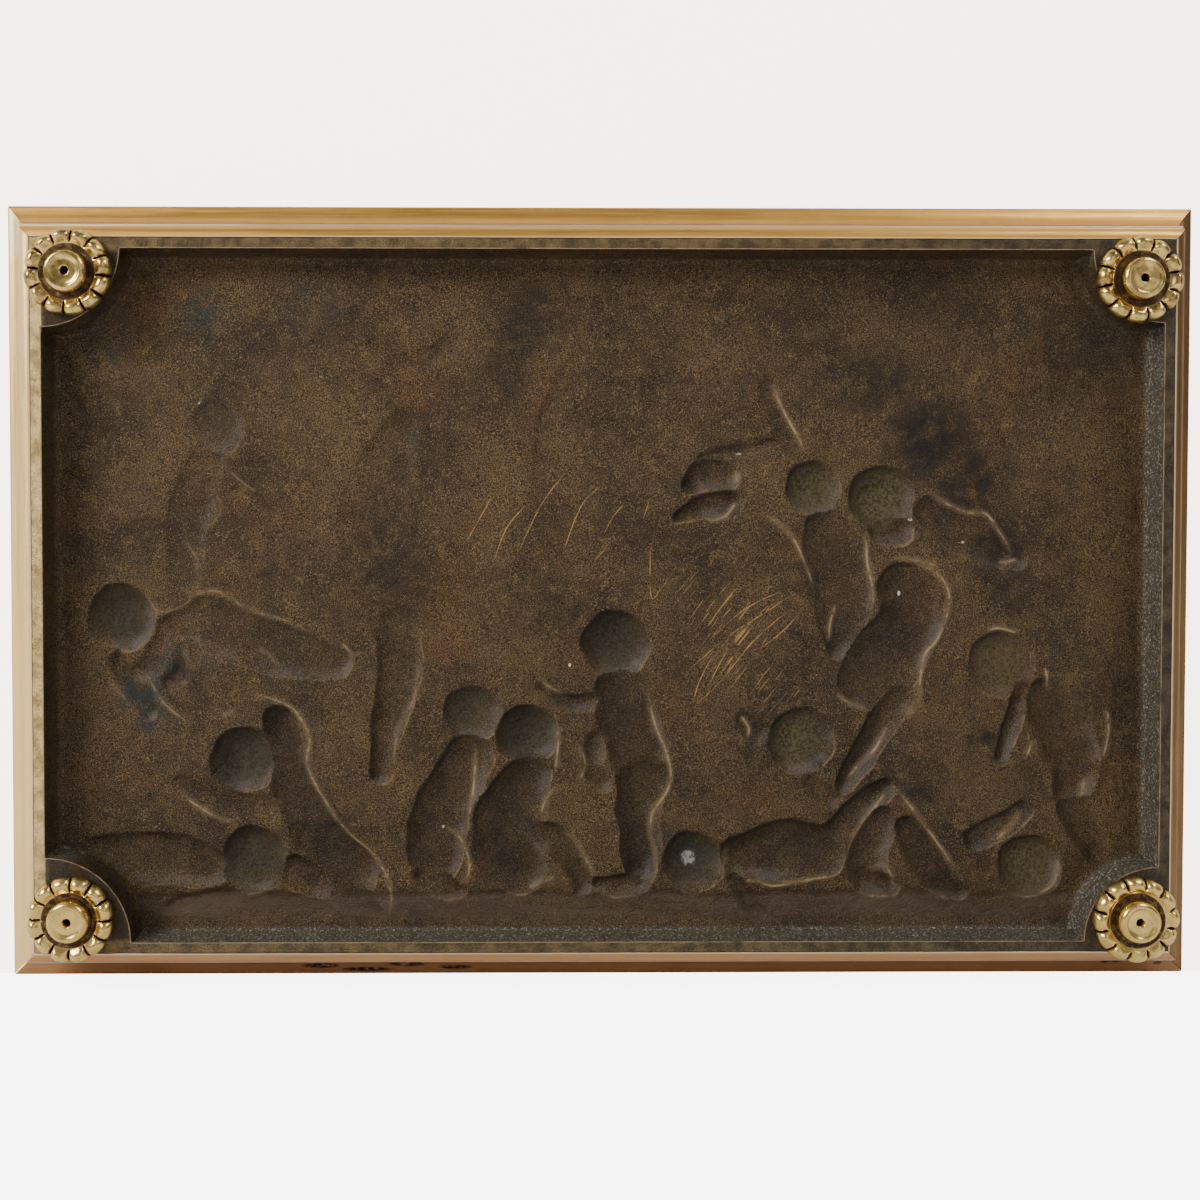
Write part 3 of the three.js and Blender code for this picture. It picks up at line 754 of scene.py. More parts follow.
def ranged(tree, value, start, end, low=0.0, high=1.0):
    """A value carried from one range to another, softly at both ends."""
    given = {"Value": value, "From Min": start, "From Max": end, "To Min": low, "To Max": high}
    return put(tree, "ShaderNodeMapRange", given, interpolation_type="SMOOTHSTEP").outputs[0]


def noise(tree, place, size, detail, output="Fac", **more):
    """The value or the colour of a noise node."""
    given = {"Vector": place, "Scale": size, "Detail": detail, **more}
    return put(tree, "ShaderNodeTexNoise", given).outputs[output]


def blended(tree, share, first, second):
    """Colour between two colours or sockets, by a share."""
    made = put(tree, "ShaderNodeMix", {0: share}, data_type="RGBA")
    for socket, value in ((made.inputs[6], first), (made.inputs[7], second)):
        if isinstance(value, bpy.types.NodeSocket):
            tree.links.new(value, socket)
        else:
            socket.default_value = (*value, 1)
    return made.outputs[2]


def new_group(name, kind, inputs, outputs):
    """A node group with its named sockets, and its input and output nodes."""
    group = bpy.data.node_groups.new(name, kind)
    sockets = group.interface
    for label, held, value in inputs:
        socket = sockets.new_socket(name=label, in_out="INPUT", socket_type="NodeSocket" + held)
        if value is not None:
            socket.default_value = value
    for label, held in outputs:
        sockets.new_socket(name=label, in_out="OUTPUT", socket_type="NodeSocket" + held)
    return group, group.nodes.new("NodeGroupInput").outputs, group.nodes.new("NodeGroupOutput").inputs


# Cloudy patches of tarnish: noise stretched along an axis and cut to a soft mask
clouds, given, result = new_group(
    "Tarnish clouds",
    "ShaderNodeTree",
    [
        ("Vector", "Vector", None),
        ("Stretch", "Vector", (1, 1, 1)),
        ("Size", "Float", 40.0),
        ("Detail", "Float", 5.0),
        ("From", "Float", 0.4),
        ("To", "Float", 0.65),
    ],
    [("Mask", "Float")],
)
stretched = vector_node(clouds, "MULTIPLY", given["Vector"], given["Stretch"])
cloud_noise = noise(clouds, stretched, given["Size"], given["Detail"], Roughness=0.62)
clouds.links.new(ranged(clouds, cloud_noise, given["From"], given["To"]), result["Mask"])

# Sand-cast grain: fine lumps and wider pits as one height, and a mask of the high spots
grain, given, result = new_group(
    "Cast grain",
    "ShaderNodeTree",
    [("Vector", "Vector", None), ("Size", "Float", 700.0), ("Pits", "Float", 0.5)],
    [("Height", "Float"), ("Specks", "Float")],
)
pit_scale = 0.3
lumps = noise(grain, given["Vector"], given["Size"], 3.0, Roughness=0.6)
pit_size = product(grain, given["Size"], pit_scale)
pits = put(grain, "ShaderNodeTexVoronoi", {"Vector": given["Vector"], "Scale": pit_size})
pit_share = product(grain, ranged(grain, pits.outputs["Distance"], 0.0, 0.5), given["Pits"])
grain.links.new(math_node(grain, "ADD", lumps, pit_share), result["Height"])
grain.links.new(ranged(grain, lumps, 0.5, 0.72), result["Specks"])

# Fine scratches: short thin streaks, all turned by one angle in the plane of the wall
scratches, given, result = new_group(
    "Fine scratches",
    "ShaderNodeTree",
    [
        ("Vector", "Vector", None),
        ("Angle", "Float", 0.0),
        ("Thinness", "Float", 900.0),
        ("Share", "Float", 0.68),
    ],
    [("Mask", "Float")],
)
scratch_bend = (0, 0, 0.006)
scratch_stretch = (0.03, 1, 1)
scratch_edge = 0.04
turning = {"Vector": given["Vector"], "Axis": (0, 1, 0), "Angle": given["Angle"]}
turned = put(scratches, "ShaderNodeVectorRotate", turning).outputs[0]
bend = noise(scratches, turned, 22.0, 1.0, "Color")
turned = vector_node(scratches, "ADD", turned, vector_node(scratches, "MULTIPLY", bend, scratch_bend))
drawn_out = vector_node(scratches, "MULTIPLY", turned, scratch_stretch)
streak = noise(scratches, drawn_out, given["Thinness"], 0.0)
streak_end = math_node(scratches, "ADD", given["Share"], scratch_edge)
scratches.links.new(ranged(scratches, streak, given["Share"], streak_end), result["Mask"])


class Finish:
    """A material while its colours are laid on, one over another, by masks."""

    def __init__(self, name, ground):
        """A new material, on the colour of the clean metal or paint."""
        self.material = bpy.data.materials.new(name)
        self.material.use_nodes = True
        self.tree = self.material.node_tree
        self.shader = self.tree.nodes["Principled BSDF"]
        self.place = self.tree.nodes.new("ShaderNodeTexCoord").outputs["Object"]
        self.colour = ground

    def kept(self, name):
        """The value that the mesh keeps at each point under a name."""
        return put(self.tree, "ShaderNodeAttribute", attribute_name=name).outputs["Fac"]

    def group(self, group, **values):
        """The outputs of a node group, with this material's own values."""
        made = self.tree.nodes.new("ShaderNodeGroup")
        made.node_tree = group
        for name, value in {"Vector": self.place, **values}.items():
            if isinstance(value, bpy.types.NodeSocket):
                self.tree.links.new(value, made.inputs[name])
            else:
                made.inputs[name].default_value = value
        return made.outputs

    def cloud(self, size, start, end, stretch=(1, 1, 1), detail=5.0):
        """Tarnish clouds, from the noise values where they begin and are full."""
        values = {"Size": size, "From": start, "To": end, "Stretch": stretch, "Detail": detail}
        return self.group(clouds, **values)["Mask"]

    def axis(self, name):
        """The place along one axis, in metres."""
        return put(self.tree, "ShaderNodeSeparateXYZ", {0: self.place}).outputs[name]

    def soft(self, value, start, end, low=0.0, high=1.0):
        """A value carried softly from one range to another, from 0 to 1 where no other is given."""
        return ranged(self.tree, value, start, end, low, high)

    def times(self, *shares):
        """The product of masks and shares."""
        return product(self.tree, *shares)

    def larger(self, first, second):
        """The larger of two masks."""
        return math_node(self.tree, "MAXIMUM", first, second)

    def near(self, value, middle, full, gone):
        """A mask that is full near a middle value and gone past a distance from it."""
        away = math_node(self.tree, "ABSOLUTE", math_node(self.tree, "SUBTRACT", value, middle))
        return self.soft(away, full, gone, 1.0, 0.0)

    def oval(self, middle, half):
        """A soft oval in the plane of the wall, in millimetres from the panel's middle."""
        spot = (panel_middle.x + middle[0] * MM, 0, panel_middle.z + middle[1] * MM)
        away = vector_node(self.tree, "SUBTRACT", self.place, spot)
        away = vector_node(self.tree, "MULTIPLY", away, (1 / half[0] / MM, 0, 1 / half[1] / MM))
        length = put(self.tree, "ShaderNodeVectorMath", {0: away}, operation="LENGTH").outputs["Value"]
        return self.soft(length, 0.55, 1.1, 1.0, 0.0)

    def lay(self, tint, *shares):
        """Lays a colour over the last one, by the product of masks and shares."""
        self.colour = blended(self.tree, self.times(*shares), self.colour, tint)

    def surface(self, dull, height, strength, distance, plain):
        """Links the colour, the roughness and a bump, and sets what is the same all over."""
        self.tree.links.new(self.colour, self.shader.inputs["Base Color"])
        self.tree.links.new(dull, self.shader.inputs["Roughness"])
        raised = {"Strength": strength, "Distance": distance, "Height": height}
        bump = put(self.tree, "ShaderNodeBump", raised).outputs[0]
        self.tree.links.new(bump, self.shader.inputs["Normal"])
        for name, value in plain.items():
            self.shader.inputs[name].default_value = value


umber = (0.034, 0.0205, 0.0095)
brown = (0.104, 0.063, 0.0275)
ochre = (0.150, 0.092, 0.034)
pale_ochre = (0.31, 0.20, 0.085)
plum = (0.044, 0.026, 0.019)
rust = (0.150, 0.066, 0.018)
soot_and_painted_shade = (0.0060, 0.0050, 0.0040)
teal = (0.013, 0.026, 0.029)
olive_grey = (0.060, 0.056, 0.034)
olive_gold = (0.140, 0.115, 0.050)
painted_sheen_grey = (0.150, 0.138, 0.135)

# Broad layers of tarnish: colour, noise scale, the noise values where it begins and is full, and strength
tarnish = [
    (brown, 30.0, 0.3, 0.66, 1.0),
    (ochre, 17.0, 0.46, 0.7, 0.55),
    (ochre, 170.0, 0.46, 0.7, 0.65),
    (plum, 44.0, 0.5, 0.72, 0.5),
    (rust, 23.0, 0.5, 0.7, 0.5),
]
patina = Finish("Dark bronze patina", umber)
across = patina.axis("X")
inside = patina.kept("inside")
outline = patina.kept("outline")
facing = patina.kept("facing")
bowl = patina.kept("bowl")
for tint, size, start, full, share in tarnish:
    patina.lay(tint, patina.cloud(size, start, full), share)
cast = patina.group(grain, Size=1900.0, Pits=0.35)
patina.lay(pale_ochre, cast["Specks"], 0.85)
patina.lay(soot_and_painted_shade, patina.cloud(2100.0, 0.46, 0.56, detail=2.0), 0.9)
patina.lay(soot_and_painted_shade, patina.kept("stain"), patina.cloud(120.0, 0.34, 0.56), 0.85)
patina.lay(teal, patina.kept("green"), patina.cloud(90.0, 0.36, 0.6), 0.8)
# Darker in the sunk figures and in the head bowls, the deeper the darker
patina.lay(soot_and_painted_shade, patina.kept("hollow"), 0.6)
patina.lay(soot_and_painted_shade, bowl, 0.3)
bowl_tint = blended(patina.tree, patina.soft(across, 0.04, 0.08), olive_grey, olive_gold)
patina.lay(bowl_tint, bowl, patina.cloud(800.0, 0.3, 0.7, detail=3.0), 0.7)
# Painted sheen: a cool grey highlight just inside the figures' outlines that face away from the light, on
# the lower right inner walls that the light falls on
inner_edge = patina.times(patina.soft(outline, -6.0, -1.5), patina.soft(outline, -0.6, 0.8, 1.0, 0.0))
turned_away = patina.soft(facing, -0.6, -0.08, 1.0, 0.0)
patina.lay(painted_sheen_grey, inner_edge, turned_away, patina.cloud(70.0, 0.38, 0.62), 0.3)

# Darker towards the foot of the recess walls; painted shade just inside the figures' outlines that face
# the light; the walls that face the light are painted pale, partly a real crust and partly painted light
ground_brown = (0.078, 0.053, 0.036)
verdigris_and_painted_light = (0.095, 0.088, 0.066)
chalk_and_painted_light = (0.58, 0.56, 0.48)
patina.lay(soot_and_painted_shade, patina.soft(inside, 3.0, 13, 1.0, 0.0), 0.15, patina.cloud(60.0, 0.1, 0.75))
patina.lay(soot_and_painted_shade, patina.soft(inside, 1.2, 4.5, 0.1, 0.0))
# Painted light: the recess walls that face the light are painted pale grey green with light specks,
# partly a real crust
lit_wall = patina.soft(patina.kept("lit_wall"), 0.4, 0.7)
lit_wall = patina.times(lit_wall, patina.soft(inside, 1.3, 2.8, 1.0, 0.0))
patina.lay(verdigris_and_painted_light, lit_wall, patina.cloud(900.0, 0.3, 0.62))
patina.lay(chalk_and_painted_light, lit_wall, patina.cloud(1100.0, 0.54, 0.63), 0.55)
patina.lay(ground_brown, patina.kept("ground"), patina.cloud(260.0, 0.2, 0.6, (0.12, 1, 1)), 0.8)
# Painted shade just inside the figures' outlines that face the light, on the upper left inner walls that
# the light does not reach
painted_shade_edge = patina.times(patina.soft(outline, -2.6, -0.4), patina.soft(outline, 0.0, 0.8, 1.0, 0.0))
patina.lay(soot_and_painted_shade, painted_shade_edge, patina.soft(facing, 0.1, 1.0, 0.0, 0.7))

# The flat rim is painted pale at the left and dark towards the right, as painted light and shade by side,
# with brushed lines along it
left_edge = -0.2286
left_blend = 0.0001
lit_and_shaded_strips = {
    "right": ((0.022, 0.014, 0.008), (0.085, 0.058, 0.027)),
    "long": ((0.056, 0.038, 0.015), (0.165, 0.110, 0.045)),
    "left": ((0.34, 0.23, 0.085), (0.78, 0.56, 0.25)),
}
pad_brown = (0.030, 0.018, 0.009)
to_right = patina.soft(across, 0.0, 0.22)
on_left = patina.soft(across, left_edge - left_blend, left_edge + left_blend, 1.0, 0.0)
shades = []
for right_shade, long_shade, left_shade in zip(lit_and_shaded_strips["right"], lit_and_shaded_strips["long"], lit_and_shaded_strips["left"]):
    shade = blended(patina.tree, to_right, long_shade, right_shade)
    shades.append(blended(patina.tree, on_left, shade, left_shade))
strip_colour = blended(patina.tree, patina.cloud(900.0, 0.32, 0.7, (0.2, 1, 0.2)), *shades)
on_strip = patina.soft(patina.kept("from_edge"), rim_width, rim_width + 2.5, 1.0, 0.0)
rim_colour = blended(patina.tree, on_strip, pad_brown, strip_colour)
patina.lay(rim_colour, patina.soft(inside, 0.01, 0.12, 1.0, 0.0), 0.92)

# Scratches through the patina, crests worn bright with a painted highlight along them, a painted
# highlight just outside the outlines that face away from the light, the rim's edge worn bright, and white
# flecks
scratch_gold = (0.50, 0.29, 0.10)
rubbed_and_highlight = (0.34, 0.24, 0.135)
off_white = (0.62, 0.60, 0.54)
scratch_line = patina.near(patina.kept("scratch_side"), 0, 0.08, 0.3)
scratch_line = patina.times(scratch_line, patina.kept("scratch_share"))
fine = patina.group(scratches, Angle=math.radians(52), Thinness=1300.0, Share=0.68)["Mask"]
scored = patina.larger(scratch_line, patina.times(fine, patina.kept("scored")))
patina.lay(scratch_gold, scored, patina.cloud(150.0, 0.3, 0.6), 0.75)
crest_side = patina.kept("crest_side")
crest_line = patina.times(patina.near(crest_side, 0, 0.1, 0.8), patina.cloud(150.0, 0.36, 0.6))
crest_highlight_glow = patina.times(patina.near(crest_side, 0, 0.2, 2.2), 0.25)
crest = patina.times(patina.larger(crest_line, crest_highlight_glow), patina.kept("crest_share"))
# Painted highlight just outside the figures' lower right outlines, on the raised lip that the light falls
# on
lit_outline_highlight = patina.times(
    patina.near(outline, 0.3, 0.15, 0.75),
    patina.soft(facing, -0.9, -0.1, 1.0, 0.0),
    patina.cloud(110.0, 0.36, 0.6),
    0.4,
)
edge_line = patina.times(
    patina.soft(inside, -0.45, -0.2),
    patina.soft(inside, 0.0, 0.08, 1.0, 0.0),
    patina.cloud(100.0, 0.25, 0.55),
    0.8,
)
patina.lay(rubbed_and_highlight, patina.larger(patina.times(patina.larger(crest, lit_outline_highlight), 0.8), edge_line))
for across_mm, up_mm, half_across, half_up, strength in white_flecks:
    fleck = patina.oval((across_mm, up_mm), (half_across, half_up))
    patina.lay(off_white, fleck, patina.cloud(480.0, 0.42, 0.56), strength)
dull = patina.soft(cast["Height"], 0.3, 1.0, 0.58, 0.4)
waxed = {"Metallic": 0.55, "Specular IOR Level": 0.3, "Coat Weight": 0.08, "Coat Roughness": 0.38}
patina.surface(dull, cast["Height"], 1.0, 0.0007, waxed)

panel_mesh.materials.clear()
panel_mesh.materials.append(patina.material)
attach(panel, "root")
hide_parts("relief_panel")

# Moulding
# Four lengths of brass moulding, drawn to one section and mitred, soldered round the panel.
# From the outside in: a thin edge, a hollow, a narrow fillet and a swelling member with a small lip.
moulding_width = 16.6
moulding_height = rim_level
edge_height = 2.5
edge_width = 0.8
hollow_end = 9.9
hollow_height = 14.4
hollow_sag = 3.4
fillet_width = 0.9
fillet_height = 15.3
swell_start = 11.4
swell_bulge = 2.6
inner_lip_width = 0.8
arris_radius = 0.28
arris_turn = 22
arris_share = 0.4
hollow_steps, swell_steps, arris_steps = 14, 12, 3
moulding_crease = 35
mitre_gap = 0.3
stations = 48
first_seed = 20
dent_depth = 0.035
dent_lean = 0.3
plaque_half = ((cad_high.x - cad_low.x) / 2 / MM, (cad_high.z - cad_low.z) / 2 / MM)


def bent(start, pull, end, steps):
    """Points on a quadratic curve, ends included."""
    shares = [i / steps for i in range(steps + 1)]
    return [
        tuple((1 - s) ** 2 * a + 2 * s * (1 - s) * p + s * s * b for a, p, b in zip(start, pull, end))
        for s in shares
    ]


def middle_pull(start, end, sag):
    """The pull point of a curve that sags between its ends."""
    return ((start[0] + end[0]) / 2 + sag, (start[1] + end[1]) / 2 - sag)


def moulding_section():
    """Section as in from the edge, height off the wall and a share of worn metal and painted highlight;
    corners are rounded and carry it.
    """
    start, end = (edge_width, edge_height + edge_width), (hollow_end, hollow_height)
    swell_foot = (swell_start, fillet_height + swell_start - hollow_end - fillet_width)
    swell_top = (moulding_width - inner_lip_width, moulding_height)
    corners_at = [
        (0, 0),
        (0, edge_height),
        *bent(start, middle_pull(start, end, hollow_sag), end, hollow_steps),
        (hollow_end, fillet_height),
        (hollow_end + fillet_width, fillet_height),
        *bent(swell_foot, middle_pull(swell_foot, swell_top, -swell_bulge), swell_top, swell_steps),
        (moulding_width, moulding_height),
        (moulding_width, 0),
    ]
    rounded = []
    befores, afters = corners_at[-1:] + corners_at, corners_at[1:] + corners_at[:1]
    for before, here, after in zip(befores, corners_at, afters):
        back, on = Vector(before) - Vector(here), Vector(after) - Vector(here)
        turn = math.pi - back.angle(on)
        if turn < math.radians(arris_turn):
            rounded.append((*here, 0.0))
            continue
        bright = float(here[1] > edge_height + edge_width)
        reach = min(arris_radius, back.length * arris_share, on.length * arris_share)
        first = Vector(here) + back.normalized() * reach
        last = Vector(here) + on.normalized() * reach
        rounded += [(*point, bright) for point in bent(first, here, last, arris_steps)]
    return rounded


def moulding_length(name, length, half_span, quarter_turns):
    """One mitred length, laid along the side of the plaque that the quarter turns give."""
    section = moulding_section()
    count = len(section)
    draw = np.random.default_rng(first_seed + quarter_turns)
    dents = abs(draw.normal(0, dent_depth, stations + 1))
    dents[0] = dents[-1] = 0
    points = []
    for station, dent in enumerate(dents):
        share = 2 * station / stations - 1
        for inward, height, _ in section:
            reach = length / 2 - inward - mitre_gap / 2
            sunk = dent * (height > edge_height) * (inward < moulding_width)
            points.append((share * reach, half_span - inward - sunk * dent_lean, height - sunk))
    faces = [
        (here + i, here + (i + 1) % count, here + count + (i + 1) % count, here + count + i)
        for here in range(0, stations * count, count)
        for i in range(count)
    ]
    faces += [tuple(reversed(range(count))), tuple(stations * count + i for i in range(count))]
    turn = Matrix.Rotation(quarter_turns * math.pi / 2, 4, "Z")
    stand = Matrix.Rotation(math.pi / 2, 4, "X")
    placed = Matrix.Translation(panel_middle) @ stand @ turn
    made = mesh_object(name, [tuple(placed @ (Vector(p) * MM)) for p in points], faces)
    keep_value(made.data, "arris", [bright for _, _, bright in section] * (stations + 1))
    shares = [inward / moulding_width for inward, _, _ in section]
    keep_value(made.data, "inward", shares * (stations + 1))
    shade_smooth(made.data, moulding_crease)
    return made


dark_stain = (0.045, 0.03, 0.022)
black_stain = (0.012, 0.010, 0.009)
painted_highlight_cream = (0.97, 0.84, 0.58)
painted_shade_violet = (0.30, 0.24, 0.23)
arris_wear_and_highlight = (0.86, 0.72, 0.52)
along_stretch = 0.02
stain_blend = 0.1
band_fade = 0.04
band_edge = 0.02

# Each length: quarter turns to its side, its brass where clean and dull, lighter on the left and top
# lengths and darker on the bottom and right ones as painted light and shade, the noise value where its
# stains begin, its band of painted shade as start and end across the width and strength, and its spots as
# middle and half sizes in millimetres from the panel's middle, strength and colour
rails = {
    "top": {
        "turns": 0, "clean": (0.76, 0.42, 0.096), "dull": (0.50, 0.255, 0.064), "stain_from": 0.66,
        "band": (0.50, 0.60, 0.8), "spots": [],
    },
    "left": {
        "turns": 1, "clean": (0.93, 0.64, 0.25), "dull": (0.80, 0.54, 0.24), "stain_from": 0.7,
        "band": (0.40, 0.62, 0.35), "spots": [((-246, 150), (3, 12), 0.6, painted_highlight_cream)],
    },
    "bottom": {
        "turns": 2, "clean": (0.51, 0.29, 0.135), "dull": (0.36, 0.19, 0.09), "stain_from": 0.6,
        "band": (0.50, 0.60, 0.5),
        "spots": [
            ((-119, -158.5), (9, 1.6), 0.95, black_stain), ((-100, -160.5), (13, 1.2), 0.95, black_stain),
            ((-82, -157.5), (10, 1.8), 0.9, black_stain), ((-62, -159.5), (8, 1.3), 0.9, black_stain),
            ((217.5, -157), (5, 1.6), 0.9, black_stain), ((238, -158), (2.2, 1.2), 0.8, black_stain),
        ],
    },
    "right": {
        "turns": 3, "clean": (0.25, 0.14, 0.05), "dull": (0.145, 0.08, 0.032), "stain_from": 0.64,
        "band": (0.40, 0.62, 0.5), "spots": [],
    },
}
for side, rail in rails.items():
    upright = rail["turns"] % 2 == 1
    half_length, half_span = reversed(plaque_half) if upright else plaque_half
    stretch = (1, 1, along_stretch) if upright else (along_stretch, 1, 1)
    brass = Finish(f"Brass {side} length", rail["clean"])
    streaks = brass.cloud(1000.0, 0.35, 0.68, stretch)
    brass.lay(rail["dull"], streaks, 0.42)
    brass.lay(rail["dull"], brass.cloud(34.0, 0.4, 0.7), 0.35)
    stain_from = rail["stain_from"]
    brass.lay(dark_stain, brass.cloud(120.0, stain_from, stain_from + stain_blend, stretch), 0.7)
    inward = brass.kept("inward")
    band_start, band_end, band_strength = rail["band"]
    # Painted shade: a grey violet band over the inner part of the hollow, next to the fillet
    on_band = brass.times(
        brass.soft(inward, band_start - band_fade, band_start + band_fade),
        brass.soft(inward, band_end - band_edge, band_end, 1.0, 0.0),
    )
    brass.lay(painted_shade_violet, on_band, brass.cloud(60.0, 0.15, 0.6, stretch), band_strength)
    # Spots: black stains on the bottom length, and on the left length a pale painted highlight at the top
    # left mitre
    for middle, half, strength, tint in rail["spots"]:
        brass.lay(tint, brass.oval(middle, half), brass.cloud(420.0, 0.3, 0.55), strength)
    # Worn metal and painted highlight along the rounded arrises
    brass.lay(arris_wear_and_highlight, brass.kept("arris"), 0.6)
    dull = brass.soft(streaks, 0, 1, 0.34, 0.5)
    brass.surface(dull, noise(brass.tree, brass.place, 900.0, 2.0), 0.12, 0.0001, {"Metallic": 1.0})

    piece = moulding_length(f"moulding_{side}_drawn", 2 * half_length, half_span, rail["turns"])
    piece.data.materials.append(brass.material)
    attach(piece, "root")
    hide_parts(f"moulding_{side}")

# Rosettes
# Four cast brass rosettes, turned as blanks with a dished dome, then cut into twelve petals.
# Each lies on a corner pad over the fixing hole, and its petals reach over the moulding's lip.
rosette_radius = 17.9
petal_start = 11.2
petal_height = 4.5
groove_height = 1.9
dome_radius = 8.9
dome_height = 6.6
dish_radius = 5.4
seat_gap = 0.3
blank_sides = 288
ring_start = 8.6
ring_end = 11.6
groove_margin = 1.2
rosette_crease = 50

petals, given, result = new_group(
    "Petal cutting",
    "GeometryNodeTree",
    [
        ("Blank", "Geometry", None),
        ("Petals", "Int", 12),
        ("Turn", "Float", 0.0),
        ("Notch start", "Float", petal_start * MM),
        ("Notch length", "Float", 2.2 * MM),
        ("Notch width", "Float", 0.16),
        ("Notch floor", "Float", 0.2),
        ("Roundness", "Float", 0.42),
        ("Edge pinch", "Float", 0.06),
        ("Unevenness", "Float", 0.1),
        ("Seed", "Int", 1),
        ("Material", "Material", None),
    ],
    [("Rosette", "Geometry")],
)


def work_out(operation, *values):
    """A math node in the tree that cuts the petals."""
    return math_node(petals, operation, *values)


# The way round, counted in petals, and the place within one petal from its middle to its edge
positive_shift = 24
spot = put(petals, "GeometryNodeInputPosition").outputs[0]
parts = put(petals, "ShaderNodeSeparateXYZ", {0: spot}).outputs
angle = work_out("ADD", work_out("ARCTAN2", parts["Y"], parts["X"]), given["Turn"])
phase = work_out("DIVIDE", work_out("MULTIPLY", angle, given["Petals"]), 2 * math.pi)
phase = work_out("ADD", phase, positive_shift)
petal_number = work_out("MODULO", work_out("FLOOR", phase), given["Petals"])
off_middle = work_out("SUBTRACT", work_out("FRACT", phase), 0.5)
to_edge = work_out("MULTIPLY", work_out("ABSOLUTE", off_middle), 2.0)

# Notches between the petals, each starting at a slightly different radius
luck = {"ID": petal_number, "Seed": given["Seed"], 2: -1.0, 3: 1.0}
uneven = put(petals, "FunctionNodeRandomValue", luck, data_type="FLOAT").outputs[1]
uneven = work_out("MULTIPLY", uneven, given["Unevenness"])
flat_spot = put(petals, "ShaderNodeCombineXYZ", {0: parts["X"], 1: parts["Y"]}).outputs[0]
radius = put(petals, "ShaderNodeVectorMath", {0: flat_spot}, operation="LENGTH").outputs["Value"]
notch_from = work_out("MULTIPLY", given["Notch start"], work_out("ADD", uneven, 1.0))
outward = ranged(petals, radius, notch_from, work_out("ADD", notch_from, given["Notch length"]))
in_notch = ranged(petals, to_edge, work_out("SUBTRACT", 1.0, given["Notch width"]), 1.0)
in_notch = work_out("MULTIPLY", in_notch, outward)

# The height falls in the notches and towards each petal's edge, where the petal is also drawn in
edge_fall = 2.6
edge_draw = 3.0
cut_share = work_out("MULTIPLY", in_notch, work_out("SUBTRACT", 1.0, given["Notch floor"]))
fall = work_out("MULTIPLY", work_out("POWER", to_edge, edge_fall), given["Roundness"])
fall = work_out("MULTIPLY", fall, outward)
kept_height = work_out("MULTIPLY", work_out("SUBTRACT", 1.0, cut_share), work_out("SUBTRACT", 1.0, fall))
pinch = work_out("MULTIPLY", work_out("POWER", to_edge, edge_draw), given["Edge pinch"])
shrink = work_out("SUBTRACT", 1.0, work_out("MULTIPLY", pinch, outward))
scale = put(petals, "ShaderNodeCombineXYZ", {0: shrink, 1: shrink, 2: kept_height}).outputs[0]
moved = vector_node(petals, "MULTIPLY", spot, scale)
stored = {"Geometry": given["Blank"], "Name": "notch", "Value": in_notch}
stored = put(petals, "GeometryNodeStoreNamedAttribute", stored, data_type="FLOAT", domain="POINT")
shaped = {"Geometry": stored.outputs[0], "Position": moved}
shaped = put(petals, "GeometryNodeSetPosition", shaped).outputs[0]
realized = put(petals, "GeometryNodeRealizeInstances", {"Geometry": shaped}).outputs[0]
finished = {"Geometry": realized, "Material": given["Material"]}
finished = put(petals, "GeometryNodeSetMaterial", finished).outputs[0]
petals.links.new(finished, result["Rosette"])
socket_of = {item.name: item.identifier for item in petals.interface.items_tree if item.in_out == "INPUT"}


def blank_section(dish):
    """Half section of the turned blank from its hole out, as radius and height."""
    floor = dome_height - dish
    dome = soft_curve(
        [
            (fixing_hole_radius + 0.3, floor),
            (dish_radius - 1.2, floor + 0.05),
            (dish_radius, floor + 0.35 * dish),
            (dish_radius + 1.3, dome_height),
            (dome_radius - 0.9, dome_height - 0.7),
            (dome_radius - 0.15, dome_height - 2.4),
            (dome_radius, groove_height + 0.3),
        ],
        5,
    )
    groove_ends = [(dome_radius + 0.15, groove_height), (petal_start - 1.2, groove_height + 0.1)]
    groove = soft_curve(groove_ends, 2)
    petal_span = rosette_radius - petal_start
    petal = soft_curve(
        [
            (petal_start - 0.7, groove_height + 0.4),
            (petal_start + 0.12 * petal_span, petal_height - 1.5),
            (petal_start + 0.36 * petal_span, petal_height - 0.3),
            (petal_start + 0.58 * petal_span, petal_height),
            (petal_start + 0.8 * petal_span, petal_height - 0.9),
            (petal_start + 0.95 * petal_span, petal_height - 2.4),
            (rosette_radius, 0.9),
        ],
        5,
    )
    hole = [(fixing_hole_radius, 0), (fixing_hole_radius, floor - 0.3)]
    return [*hole, *dome, *groove, *petal, (rosette_radius - 0.4, 0)]


def turned_blank(name, section):
    """The section turned round its axis and closed at the back, as a ring, with its groove marked."""
    count = len(section)
    turns = [2 * math.pi * i / blank_sides for i in range(blank_sides)]
    points = [
        (r * math.cos(turn) * MM, r * math.sin(turn) * MM, h * MM)
        for turn in turns
        for r, h in section
    ]
    faces = []
    for i in range(blank_sides):
        here, on = i * count, (i + 1) % blank_sides * count
        for j in range(count):
            above = (j + 1) % count
            faces.append((on + j, on + above, here + above, here + j))
    made = mesh_object(name, points, faces)
    groove_top = petal_height - groove_margin
    marked = [float(ring_start <= r <= ring_end and h < groove_top) for r, h in section]
    keep_value(made.data, "groove", marked * blank_sides)
    return made


